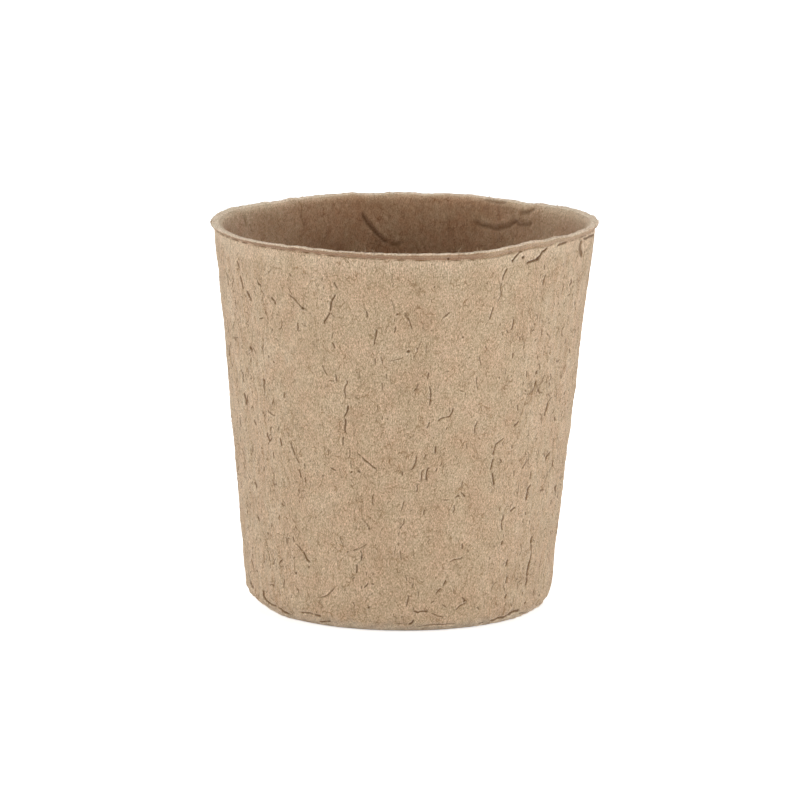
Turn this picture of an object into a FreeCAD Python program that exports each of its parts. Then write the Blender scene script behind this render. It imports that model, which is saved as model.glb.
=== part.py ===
"""A round moulded-fibre plant pot, pressed in one piece: a thin tapered wall, a flared lip with an
undercut, a rounded foot with a pinched seam round it, a pushed-up floor and one drain hole.

Millimetres, +Z up, origin at the centre of the standing face."""
import FreeCAD, Part
import math
import os
import Sketcher

NODE = "moulded_pot"

# Driving dimensions in millimetres: alias, value, what it is.
SIZES = (
    ("rim_diameter", 80.0, "outside of the lip"),
    ("pot_height", 80.0, "standing face to the top of the lip"),
    ("base_diameter", 62.4, "the wall's cone where it meets the standing face"),
    ("wall_thickness", 1.6, "wall, measured level"),
    ("floor_thickness", 1.8, "floor, measured upright"),
    ("lip_overhang", 0.8, "how far the lip stands out past the wall's cone"),
    ("lip_height", 1.4, "top of the lip to the foot of its undercut"),
    ("lip_land", 0.5, "upright face above the undercut"),
    ("lip_bevel", 0.3, "bevel on the lip's outer edge"),
    ("mouth_round", 1.9, "soft round from the top of the lip into the mouth"),
    ("foot_round", 4.9, "outside round from wall to standing face"),
    ("floor_corner_round", 4.0, "inside round from wall to floor"),
    ("push_up_depth", 0.9, "how far the floor is pushed up inside the standing ring"),
    ("standing_ring_width", 3.4, "flat ring that the pot stands on, inside the foot's round"),
    ("push_up_slope_run", 2.5, "level run of the push-up's slope"),
    ("drain_hole_diameter", 8.0, "hole in the middle of the floor"),
    ("seam_height", 1.5, "middle of the pinched seam above the standing face"),
    ("seam_width", 0.7, "mouth of the pinched seam, at the skin"),
    ("seam_depth", 0.45, "bottom of the pinched seam below the skin"),
    ("overrun", 1.0, "how far a cut runs past the face that it opens"),
)

RIM_RADIUS = "<<sizes>>.rim_diameter / 2"
BASE_RADIUS = "<<sizes>>.base_diameter / 2"
HEIGHT = "<<sizes>>.pot_height"
TAPER = f"(({RIM_RADIUS} - <<sizes>>.lip_overhang - {BASE_RADIUS}) / {HEIGHT})"
LIP_FOOT = f"({HEIGHT} - <<sizes>>.lip_height)"
PUSHED_FLOOR = "(<<sizes>>.push_up_depth + <<sizes>>.floor_thickness)"
PUSH_UP_FOOT = f"({BASE_RADIUS} - <<sizes>>.foot_round - <<sizes>>.standing_ring_width)"
PUSH_UP_HEAD = f"({PUSH_UP_FOOT} - <<sizes>>.push_up_slope_run)"


def wall_radius(height):
    """Expression for the outside radius of the wall's cone at a height."""
    return f"({BASE_RADIUS} + {TAPER} * ({height}))"


def inner_radius(height):
    """Expression for the inside radius of the wall at a height."""
    return f"({wall_radius(height)} - <<sizes>>.wall_thickness)"


def fill_sheet(document):
    """Puts the driving dimensions in a spreadsheet, each with its alias and its meaning."""
    sheet = document.addObject("Spreadsheet::Sheet", "sizes")
    for row, (alias, value, meaning) in enumerate(SIZES, start=1):
        sheet.set(f"A{row}", str(value))
        sheet.setAlias(f"A{row}", alias)
        sheet.set(f"B{row}", meaning)
    document.recompute()


def new_sketch(body, name, plane_role):
    """A sketch on one of the body's own origin planes."""
    sketch = body.newObject("Sketcher::SketchObject", name)
    plane = next(item for item in body.Origin.OriginFeatures if item.Role == plane_role)
    sketch.AttachmentSupport = [(plane, "")]
    sketch.MapMode = "FlatFace"
    return sketch


def value_of(sketch, expression):
    return float(sketch.evalExpression(expression))


def tie_point(sketch, geometry, point, kind, expression):
    """Ties one coordinate of a point to an expression, or to the axis where the expression is zero."""
    if expression == "0":
        axis = {"DistanceX": -2, "DistanceY": -1}[kind]
        sketch.addConstraint(Sketcher.Constraint("PointOnObject", geometry, point, axis))
        return
    value = value_of(sketch, expression)
    index = sketch.addConstraint(Sketcher.Constraint(kind, -1, 1, geometry, point, value))
    sketch.setExpression(f"Constraints[{index}]", expression)


def draw_outline(sketch, corners):
    """A closed outline of straight lines; each corner is a pair of expressions: radius, height."""
    points = [FreeCAD.Vector(value_of(sketch, across), value_of(sketch, up)) for across, up in corners]
    count = len(points)
    for line in range(count):
        sketch.addGeometry(Part.LineSegment(points[line], points[(line + 1) % count]))
    for line in range(count):
        sketch.addConstraint(Sketcher.Constraint("Coincident", line, 2, (line + 1) % count, 1))
    for line, (across, up) in enumerate(corners):
        tie_point(sketch, line, 1, "DistanceX", across)
        tie_point(sketch, line, 1, "DistanceY", up)


def draw_circle(sketch, centre, diameter):
    """A circle with its centre at a pair of expressions."""
    across, up = centre
    middle = FreeCAD.Vector(value_of(sketch, across), value_of(sketch, up))
    radius = value_of(sketch, diameter) / 2
    circle = sketch.addGeometry(Part.Circle(middle, FreeCAD.Vector(0, 0, 1), radius))
    tie_point(sketch, circle, 3, "DistanceX", across)
    tie_point(sketch, circle, 3, "DistanceY", up)
    index = sketch.addConstraint(Sketcher.Constraint("Diameter", circle, 2 * radius))
    sketch.setExpression(f"Constraints[{index}]", diameter)


def turn(body, kind, name, sketch):
    """A full turn of a sketch about the pot's axis, as a Revolution or a Groove."""
    feature = body.newObject(f"PartDesign::{kind}", name)
    feature.Profile = sketch
    feature.ReferenceAxis = (sketch, ["V_Axis"])
    feature.Angle = 360
    sketch.Visibility = False
    body.Document.recompute()


def ring_edges(body, radius, height):
    """Names of the body's level circular edges that have a given radius and height."""
    sketch = body.Document.getObject("outer_outline")
    edge_radius = value_of(sketch, radius)
    edge_height = value_of(sketch, height)
    tolerance = Part.Precision.confusion() * edge_radius
    names = []
    for index, edge in enumerate(body.Shape.Edges, start=1):
        curve = edge.Curve
        if not isinstance(curve, Part.Circle):
            continue
        if math.hypot(curve.Radius - edge_radius, curve.Center.z - edge_height) < tolerance:
            names.append(f"Edge{index}")
    if not names:
        raise RuntimeError(f"no edge at radius {edge_radius}, height {edge_height}")
    return names


def dress_edge(body, kind, name, place, size):
    """A Fillet or a Chamfer on the circular edge at a place: radius, height."""
    edges = ring_edges(body, *place)
    base = body.Tip
    feature = body.newObject(f"PartDesign::{kind}", name)
    feature.Base = (base, edges)
    size_name = {"Fillet": "Radius", "Chamfer": "Size"}[kind]
    feature.setExpression(size_name, size)
    body.Document.recompute()


def add_outer_form(body):
    """The solid cup: push-up, standing ring, tapered wall and the lip with its undercut."""
    sketch = new_sketch(body, "outer_outline", "XZ_Plane")
    draw_outline(sketch, (
        ("0", "<<sizes>>.push_up_depth"),
        (PUSH_UP_HEAD, "<<sizes>>.push_up_depth"),
        (PUSH_UP_FOOT, "0"),
        (BASE_RADIUS, "0"),
        (wall_radius(LIP_FOOT), LIP_FOOT),
        (RIM_RADIUS, f"{HEIGHT} - <<sizes>>.lip_land"),
        (RIM_RADIUS, HEIGHT),
        ("0", HEIGHT),
    ))
    turn(body, "Revolution", "outer_form", sketch)
    dress_edge(body, "Fillet", "foot_edge", (BASE_RADIUS, "0"), "<<sizes>>.foot_round")


def add_cavity(body):
    """The inside: tapered bore, and a floor that follows the push-up below it."""
    above_rim = f"({HEIGHT} + <<sizes>>.overrun)"
    sketch = new_sketch(body, "cavity_outline", "XZ_Plane")
    draw_outline(sketch, (
        ("0", PUSHED_FLOOR),
        (PUSH_UP_HEAD, PUSHED_FLOOR),
        (PUSH_UP_FOOT, "<<sizes>>.floor_thickness"),
        (inner_radius("<<sizes>>.floor_thickness"), "<<sizes>>.floor_thickness"),
        (inner_radius(above_rim), above_rim),
        ("0", above_rim),
    ))
    turn(body, "Groove", "cavity", sketch)
    corner = (inner_radius("<<sizes>>.floor_thickness"), "<<sizes>>.floor_thickness")
    dress_edge(body, "Fillet", "floor_corner", corner, "<<sizes>>.floor_corner_round")


def add_lip_edges(body):
    """The lip's outer edge is nearly sharp, and the mouth's edge is soft."""
    dress_edge(body, "Chamfer", "lip_outer_edge", (RIM_RADIUS, HEIGHT), "<<sizes>>.lip_bevel")
    mouth = (inner_radius(HEIGHT), HEIGHT)
    dress_edge(body, "Fillet", "mouth_edge", mouth, "<<sizes>>.mouth_round")


def add_pinched_seam(body):
    """The V groove that the mould's two halves pinch round the foot, square to the foot's round."""
    size = "<<sizes>>.foot_round"
    middle = f"({wall_radius(size)} - {size} * sqrt(1 + {TAPER}^2))"
    down_share = f"(({size} - <<sizes>>.seam_height) / {size})"
    out_share = f"sqrt(1 - {down_share}^2)"
    skin_radius = f"({middle} + {size} * {out_share})"
    deep_out = f"(<<sizes>>.seam_depth * {out_share})"
    deep_down = f"(<<sizes>>.seam_depth * {down_share})"
    wide_out = f"(<<sizes>>.seam_width * {down_share})"
    wide_up = f"(<<sizes>>.seam_width * {out_share})"
    sketch = new_sketch(body, "seam_outline", "XZ_Plane")
    draw_outline(sketch, (
        (f"{skin_radius} - {deep_out}", f"<<sizes>>.seam_height + {deep_down}"),
        (f"{skin_radius} + {deep_out} - {wide_out}",
         f"<<sizes>>.seam_height - {deep_down} - {wide_up}"),
        (f"{skin_radius} + {deep_out} + {wide_out}",
         f"<<sizes>>.seam_height - {deep_down} + {wide_up}"),
    ))
    turn(body, "Groove", "pinched_seam", sketch)


def add_drain_hole(body):
    """One round hole through the middle of the floor."""
    sketch = new_sketch(body, "drain_outline", "XY_Plane")
    draw_circle(sketch, ("0", "0"), "<<sizes>>.drain_hole_diameter")
    hole = body.newObject("PartDesign::Pocket", "drain_hole")
    hole.Profile = sketch
    hole.Type = "ThroughAll"
    hole.Reversed = True
    sketch.Visibility = False
    body.Document.recompute()


def make_pot(document):
    body = document.addObject("PartDesign::Body", NODE)
    body.Label = NODE
    add_outer_form(body)
    add_cavity(body)
    add_lip_edges(body)
    add_pinched_seam(body)
    volume_before_hole = body.Shape.Volume
    add_drain_hole(body)
    if body.Shape.Volume >= volume_before_hole:
        raise RuntimeError("the drain hole cut nothing")
    return body


def check_document(document, parts):
    """Stops if any object failed to compute or any part isn't one valid solid."""
    document.recompute()
    for item in document.Objects:
        if "Invalid" in item.State or "Error" in item.State:
            raise RuntimeError(f"{item.Label}: {item.State}")
    for part in parts:
        shape = part.Shape
        if shape.isNull() or not shape.isValid() or len(shape.Solids) != 1:
            raise RuntimeError(f"{part.Label}: not one valid solid")


def main():
    document = FreeCAD.newDocument("plant_pot")
    fill_sheet(document)
    parts = [make_pot(document)]
    check_document(document, parts)
    os.makedirs("parts", exist_ok=True)
    for part in parts:
        part.Shape.exportStep(f"parts/{part.Label}.step")
        box = part.Shape.BoundBox
        print(part.Label, "volume", round(part.Shape.Volume, 1), "faces", len(part.Shape.Faces))
        print("box", box.XMin, box.XMax, box.YMin, box.YMax, box.ZMin, box.ZMax)


main()
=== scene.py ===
"""A moulded-fibre plant pot: its pressed skin with lumps, creases and a torn lip, loose fibres, and
the matt kraft material, on a pale floor in soft light. Lengths are in millimetres until a mesh or
a lamp is made; +Z up, the photograph looks along +Y."""
import functools
import math

import bpy
import numpy as np
from mathutils import Matrix, Vector


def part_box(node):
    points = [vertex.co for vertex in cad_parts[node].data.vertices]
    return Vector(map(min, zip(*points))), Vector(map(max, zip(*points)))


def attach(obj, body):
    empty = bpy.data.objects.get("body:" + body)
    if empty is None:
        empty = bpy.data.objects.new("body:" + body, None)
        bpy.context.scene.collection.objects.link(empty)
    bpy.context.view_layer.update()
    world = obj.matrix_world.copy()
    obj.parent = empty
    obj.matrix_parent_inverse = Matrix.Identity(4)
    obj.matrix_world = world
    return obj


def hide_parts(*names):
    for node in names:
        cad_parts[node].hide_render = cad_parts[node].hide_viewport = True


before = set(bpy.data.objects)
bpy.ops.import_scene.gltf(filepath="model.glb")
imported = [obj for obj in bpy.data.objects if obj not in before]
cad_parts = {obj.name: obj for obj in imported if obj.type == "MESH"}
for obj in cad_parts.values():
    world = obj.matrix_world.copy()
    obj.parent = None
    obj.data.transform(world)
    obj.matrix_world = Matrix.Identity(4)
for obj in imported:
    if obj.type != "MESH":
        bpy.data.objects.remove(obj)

NODE = "moulded_pot"
MM = 0.001
FULL_TURN = 2 * math.pi
TINY = 1e-6

# The pot's sizes, as the solid has them.
CAD_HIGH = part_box(NODE)[1]
RIM_RADIUS = CAD_HIGH[0] / MM
POT_HEIGHT = CAD_HIGH[2] / MM
BASE_RADIUS = 31.2
WALL_THICKNESS = 1.6
FLOOR_THICKNESS = 1.8
LIP_OVERHANG = 0.8
LIP_HEIGHT = 1.4
LIP_LAND = 0.5
LIP_BEVEL = 0.3
MOUTH_ROUND = 1.9
FOOT_ROUND = 4.9
FLOOR_CORNER_ROUND = 4.0
STANDING_RING_WIDTH = 3.4
PUSH_UP_DEPTH = 0.9
PUSH_UP_SLOPE_RUN = 2.5
DRAIN_RADIUS = 4.0
SEAM_HEIGHT = 1.5
LIP_FOOT = POT_HEIGHT - LIP_HEIGHT
# The wall's slant: radius gained per height, its angle in degrees, and a round's offset along it.
TAPER = (RIM_RADIUS - LIP_OVERHANG - BASE_RADIUS) / POT_HEIGHT
TILT = math.degrees(math.atan(TAPER))
SLANT = math.sqrt(1 + TAPER**2)

# The mesh: columns round the pot, and the spacing of rows along the outline.
OUTER_COLUMNS = 1536
INNER_COLUMNS = OUTER_COLUMNS // 2
FLOOR_COLUMNS = OUTER_COLUMNS // 4
OUTER_STEP = 0.165
LIP_STEP = 0.11
INNER_STEP = 0.45
FLOOR_STEP = 0.7

# The photograph's camera.
PHOTO_SIZE_PX = 800
FOCAL_PX = 6535.0
CAMERA_DISTANCE = 1353.6
CAMERA_ELEVATION = math.radians(10.41)
CAMERA_AIM = (-0.29, 0.0, 42.86)
CAMERA_ROLL = math.radians(0.66)
SENSOR_MM = 36.0
PX_PER_MM = FOCAL_PX / CAMERA_DISTANCE


def camera_axes():
    """Right, up and back of the photograph's camera, with its small roll."""
    back = np.array([0.0, -math.cos(CAMERA_ELEVATION), math.sin(CAMERA_ELEVATION)])
    level_right = np.array([1.0, 0.0, 0.0])
    level_up = np.cross(back, level_right)
    right = math.cos(CAMERA_ROLL) * level_right + math.sin(CAMERA_ROLL) * level_up
    return right, np.cross(back, right), back


def camera_place():
    return np.array(CAMERA_AIM) + CAMERA_DISTANCE * camera_axes()[2]


def pixel_ray(pixel):
    """Direction from the camera through a pixel of the photograph."""
    right, up, back = camera_axes()
    centre = PHOTO_SIZE_PX / 2
    return (pixel[0] - centre) / FOCAL_PX * right - (pixel[1] - centre) / FOCAL_PX * up - back


def pixel_on_cone(pixel, low_radius, slope, far=False):
    """Where a pixel's ray meets a cone about the pot's axis: turn from the front, and height."""
    eye = camera_place()
    ray = pixel_ray(pixel)
    start_radius = low_radius + slope * eye[2]
    gain = slope * ray[2]
    a = ray[0] ** 2 + ray[1] ** 2 - gain**2
    b = 2 * (eye[0] * ray[0] + eye[1] * ray[1] - start_radius * gain)
    c = eye[0] ** 2 + eye[1] ** 2 - start_radius**2
    root = math.sqrt(max(b * b - 4 * a * c, 0.0))
    travel = (-b + root) / (2 * a) if far else (-b - root) / (2 * a)
    x, y, height = eye + travel * ray
    return math.atan2(x, -y), height


def pixel_on_skin(pixel, skin):
    """Where the camera sees a pixel on the outer skin: turn from the front, and height."""
    turn, height = pixel_on_cone(pixel, BASE_RADIUS, TAPER)
    below_top = POT_HEIGHT - 0.05
    rounds_to_settle = 8
    for _ in range(rounds_to_settle):
        aside, rise = pot_bend(turn, height)
        level = (pixel[0] - PX_PER_MM * aside, pixel[1] + PX_PER_MM * rise)
        radius = np.interp(min(height, below_top), skin.height, skin.radius)
        turn, height = pixel_on_cone(level, radius, 0.0)
    return turn, height


def pairs(numbers):
    """Pixels from a flat row of x and y in turn."""
    return list(zip(numbers[::2], numbers[1::2]))


def wall_radius(height):
    return BASE_RADIUS + TAPER * height


def inner_radius(height):
    return wall_radius(height) - WALL_THICKNESS


def smooth_step(value):
    value = np.clip(value, 0.0, 1.0)
    return value * value * (3 - 2 * value)


def band(value, start, rise, end, fall):
    """1 between start and end, 0 outside, with a smooth rise after start and fall before end."""
    return smooth_step((value - start) / rise) * smooth_step((end - value) / fall)


def hump(value, width):
    """1 where the value is 0, and down to 0 some widths away on both sides."""
    return np.exp(-((value / width) ** 2))


def lattice_noise(across, up, cells, seed):
    """Smooth noise of about -1 to 1. Across runs from 0 to cells round the pot, and repeats."""
    rng = np.random.default_rng(seed)
    rows = int(up.max()) + 3
    angle = rng.uniform(0, FULL_TURN, (rows, cells))
    gradient_x, gradient_y = np.cos(angle), np.sin(angle)
    column = np.floor(across).astype(int)
    row = np.floor(up).astype(int)
    x, y = across - column, up - row
    fade_x, fade_y = (share**3 * (share * (6 * share - 15) + 10) for share in (x, y))

    def corner(right, above):
        where = (row + above, (column + right) % cells)
        return gradient_x[where] * (x - right) + gradient_y[where] * (y - above)

    low = corner(0, 0) + fade_x * (corner(1, 0) - corner(0, 0))
    high = corner(0, 1) + fade_x * (corner(1, 1) - corner(0, 1))
    return 1.5 * (low + fade_y * (high - low))


def nearest_on_line(xs, ys, grid_x, grid_y):
    """For a grid's points: distance from a line, place beside it, and share of the way along it."""
    away = np.full(np.broadcast(grid_x, grid_y).shape, np.inf)
    side = np.zeros_like(away)
    along = np.zeros_like(away)
    lengths = np.hypot(np.diff(xs), np.diff(ys))
    total = max(lengths.sum(), TINY)
    done = 0.0
    for i, length in enumerate(lengths):
        if length < TINY:
            continue
        dx, dy = (xs[i + 1] - xs[i]) / length, (ys[i + 1] - ys[i]) / length
        rel_x, rel_y = grid_x - xs[i], grid_y - ys[i]
        run = np.clip(rel_x * dx + rel_y * dy, 0, length)
        distance = np.hypot(rel_x - run * dx, rel_y - run * dy)
        closer = distance < away
        away = np.where(closer, distance, away)
        side = np.where(closer, rel_x * dy - rel_y * dx, side)
        along = np.where(closer, (done + run) / total, along)
        done += length
    return away, side, along


# A crease, in widths of its groove: the groove at its ends, the wide soft hollow round it, the
# place and width of the edge that stands up beside it, and how far all of it reaches.
CREASE_END_WIDTH = 0.55
HOLLOW_WIDTH = 3.5
EDGE_PLACE = 2.2
EDGE_WIDTH = 1.3
CREASE_REACH = 8.0
# Shares of a crease's depth and shade: the hollow's depth, and how much painted highlight the
# raised edge gets.
HOLLOW_DEPTH = 0.1
EDGE_HIGHLIGHT = 0.3


class Skin:
    """One stretch of the pot's surface as a grid: rows along the outline, columns round the pot."""

    def __init__(self, name, outline, columns):
        self.name = name
        self.columns = columns
        self.radius, self.height = np.array(outline).T
        along_radius = np.gradient(self.radius)
        along_height = np.gradient(self.height)
        length = np.hypot(along_radius, along_height)
        self.out_radius = along_height / length
        self.out_height = -along_radius / length
        steps = np.hypot(np.diff(self.radius), np.diff(self.height))
        self.travel = np.concatenate([[0.0], np.cumsum(steps)])
        self.turn = np.arange(columns) / columns * FULL_TURN - math.pi
        # dark holds painted shade; pale holds the pulp's own tone together with painted light and
        # painted shade.
        self.lift, self.dark, self.pale = np.zeros((3, len(self.radius), columns))

    def heights(self):
        return np.broadcast_to(self.height[:, None], self.lift.shape)

    def noise(self, wide, tall, seed, bend=None):
        """Noise whose features are about so wide and tall, in millimetres."""
        cells = max(3, round(FULL_TURN * RIM_RADIUS / wide))
        across = np.broadcast_to((self.turn + math.pi) / FULL_TURN, self.lift.shape) * cells
        up = np.broadcast_to(self.travel[:, None] / tall, self.lift.shape)
        if bend is not None:
            across = (across + bend[0] / wide) % cells
            up = np.maximum(up + bend[1] / tall + 1, 0)
        return lattice_noise(across, up, cells, seed)

    def bend(self, size, wide, tall, seed):
        """Smooth shifts across and up, of about a size, that pull a noise out of its lattice."""
        return [size * self.noise(wide, tall, seed + i) for i in range(2)]

    def layered(self, layers, bend=None):
        """Sum of layers of noise: size, width and height of the features, and seed of each."""
        return sum(size * self.noise(wide, tall, seed, bend) for size, wide, tall, seed in layers)

    def far_from_zero(self, field):
        """How far each point is, in millimetres, from the lines where a smooth field is zero."""
        column_width = FULL_TURN * RIM_RADIUS / self.columns
        up, across = np.gradient(field, self.travel, column_width)
        least_slope = 0.02
        return np.abs(field) / (np.hypot(up, across) + least_slope)

    def press_line(self, points, depth, width, shade, ragged_edge=0.3):
        """Presses a tapering crease along points of turn and height, with painted shade in its
        groove; one edge stands up, with a painted highlight.
        """
        turns, ys = np.array(points).T
        middle_turn = turns.mean()
        middle_radius = np.interp(ys.mean(), [0, POT_HEIGHT], [BASE_RADIUS, RIM_RADIUS])
        reach = CREASE_REACH * width
        xs = (turns - middle_turn) * middle_radius
        offset = ((self.turn - middle_turn + math.pi) % FULL_TURN - math.pi) * middle_radius
        columns = np.nonzero((offset > xs.min() - reach) & (offset < xs.max() + reach))[0]
        rows = np.nonzero((self.height > ys.min() - reach) & (self.height < ys.max() + reach))[0]
        if not len(columns) or not len(rows):
            return
        grid = offset[columns][None, :], self.height[rows][:, None]
        away, side, along = nearest_on_line(xs, ys, *grid)
        taper = np.clip(10 * along * (1 - along), 0, 1)
        groove = hump(away, width * (CREASE_END_WIDTH + (1 - CREASE_END_WIDTH) * taper))
        hollow = hump(away, HOLLOW_WIDTH * width)
        edge = hump(side - EDGE_PLACE * width, EDGE_WIDTH * width) * (away < reach)
        patch = np.ix_(rows, columns)
        self.lift[patch] += taper * depth * (ragged_edge * edge - groove - HOLLOW_DEPTH * hollow)
        self.dark[patch] = np.maximum(self.dark[patch], shade * taper * groove)
        self.pale[patch] += EDGE_HIGHLIGHT * shade * taper * edge


def line_points(start, end, step):
    """Evenly spaced points from start up to, not with, end."""
    count = max(1, round(math.dist(start, end) / step))
    return [
        (start[0] + (end[0] - start[0]) * i / count, start[1] + (end[1] - start[1]) * i / count)
        for i in range(count)
    ]


def path_points(corners, step):
    """Evenly spaced points along straight stretches from corner to corner, with the last one."""
    points = [point for ends in zip(corners, corners[1:]) for point in line_points(*ends, step)]
    return points + [corners[-1]]


def arc_point(centre, size, angle):
    angle = math.radians(angle)
    return centre[0] + size * math.cos(angle), centre[1] + size * math.sin(angle)


def arc_points(centre, size, first, last, step):
    """Points of an arc from one angle to another, in degrees, without its last point."""
    count = max(2, round(abs(math.radians(last - first)) * size / step))
    return [arc_point(centre, size, first + (last - first) * i / count) for i in range(count)]


def lip_middle():
    return ((RIM_RADIUS - LIP_BEVEL + inner_radius(POT_HEIGHT) + MOUTH_ROUND) / 2, POT_HEIGHT)


def outer_outline():
    """From the standing ring round the foot, up the wall and over the lip to its middle."""
    foot_middle = (wall_radius(FOOT_ROUND) - FOOT_ROUND * SLANT, FOOT_ROUND)
    wall_start = arc_point(foot_middle, FOOT_ROUND, -TILT)
    wall_end = (wall_radius(LIP_FOOT), LIP_FOOT)
    lip = (
        wall_end, (RIM_RADIUS, POT_HEIGHT - LIP_LAND), (RIM_RADIUS, POT_HEIGHT - LIP_BEVEL),
        (RIM_RADIUS - LIP_BEVEL, POT_HEIGHT), lip_middle(),
    )
    points = arc_points(foot_middle, FOOT_ROUND, -90, -TILT, OUTER_STEP)
    return points + line_points(wall_start, wall_end, OUTER_STEP) + path_points(lip, LIP_STEP)


def inner_outline():
    """From the lip's middle over the mouth's edge and down the wall to the floor's channel."""
    mouth_height = POT_HEIGHT - MOUTH_ROUND
    mouth_middle = (inner_radius(mouth_height) + MOUTH_ROUND * SLANT, mouth_height)
    corner_height = FLOOR_THICKNESS + FLOOR_CORNER_ROUND
    corner_middle = (inner_radius(corner_height) - FLOOR_CORNER_ROUND * SLANT, corner_height)
    wall_head = arc_point(mouth_middle, MOUTH_ROUND, 180 - TILT)
    wall_foot = arc_point(corner_middle, FLOOR_CORNER_ROUND, -TILT)
    points = line_points(lip_middle(), (mouth_middle[0], POT_HEIGHT), LIP_STEP)
    points += arc_points(mouth_middle, MOUTH_ROUND, 90, 180 - TILT, LIP_STEP)
    points += line_points(wall_head, wall_foot, INNER_STEP)
    points += arc_points(corner_middle, FLOOR_CORNER_ROUND, -TILT, -90, INNER_STEP)
    return points + [(corner_middle[0], FLOOR_THICKNESS)]


def push_up_radii():
    foot = BASE_RADIUS - FOOT_ROUND - STANDING_RING_WIDTH
    return foot, foot - PUSH_UP_SLOPE_RUN


def floor_outline():
    foot, head = push_up_radii()
    raised = PUSH_UP_DEPTH + FLOOR_THICKNESS
    flat = (inner_outline()[-1], (foot, FLOOR_THICKNESS))
    return path_points((*flat, (head, raised), (DRAIN_RADIUS, raised)), FLOOR_STEP)


def drain_outline():
    top = (DRAIN_RADIUS, PUSH_UP_DEPTH + FLOOR_THICKNESS)
    return path_points((top, (DRAIN_RADIUS, PUSH_UP_DEPTH)), FLOOR_STEP / 2)


def underside_outline():
    foot, head = push_up_radii()
    raised = ((DRAIN_RADIUS, PUSH_UP_DEPTH), (head, PUSH_UP_DEPTH))
    return path_points((*raised, (foot, 0.0), outer_outline()[0]), FLOOR_STEP)


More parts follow.
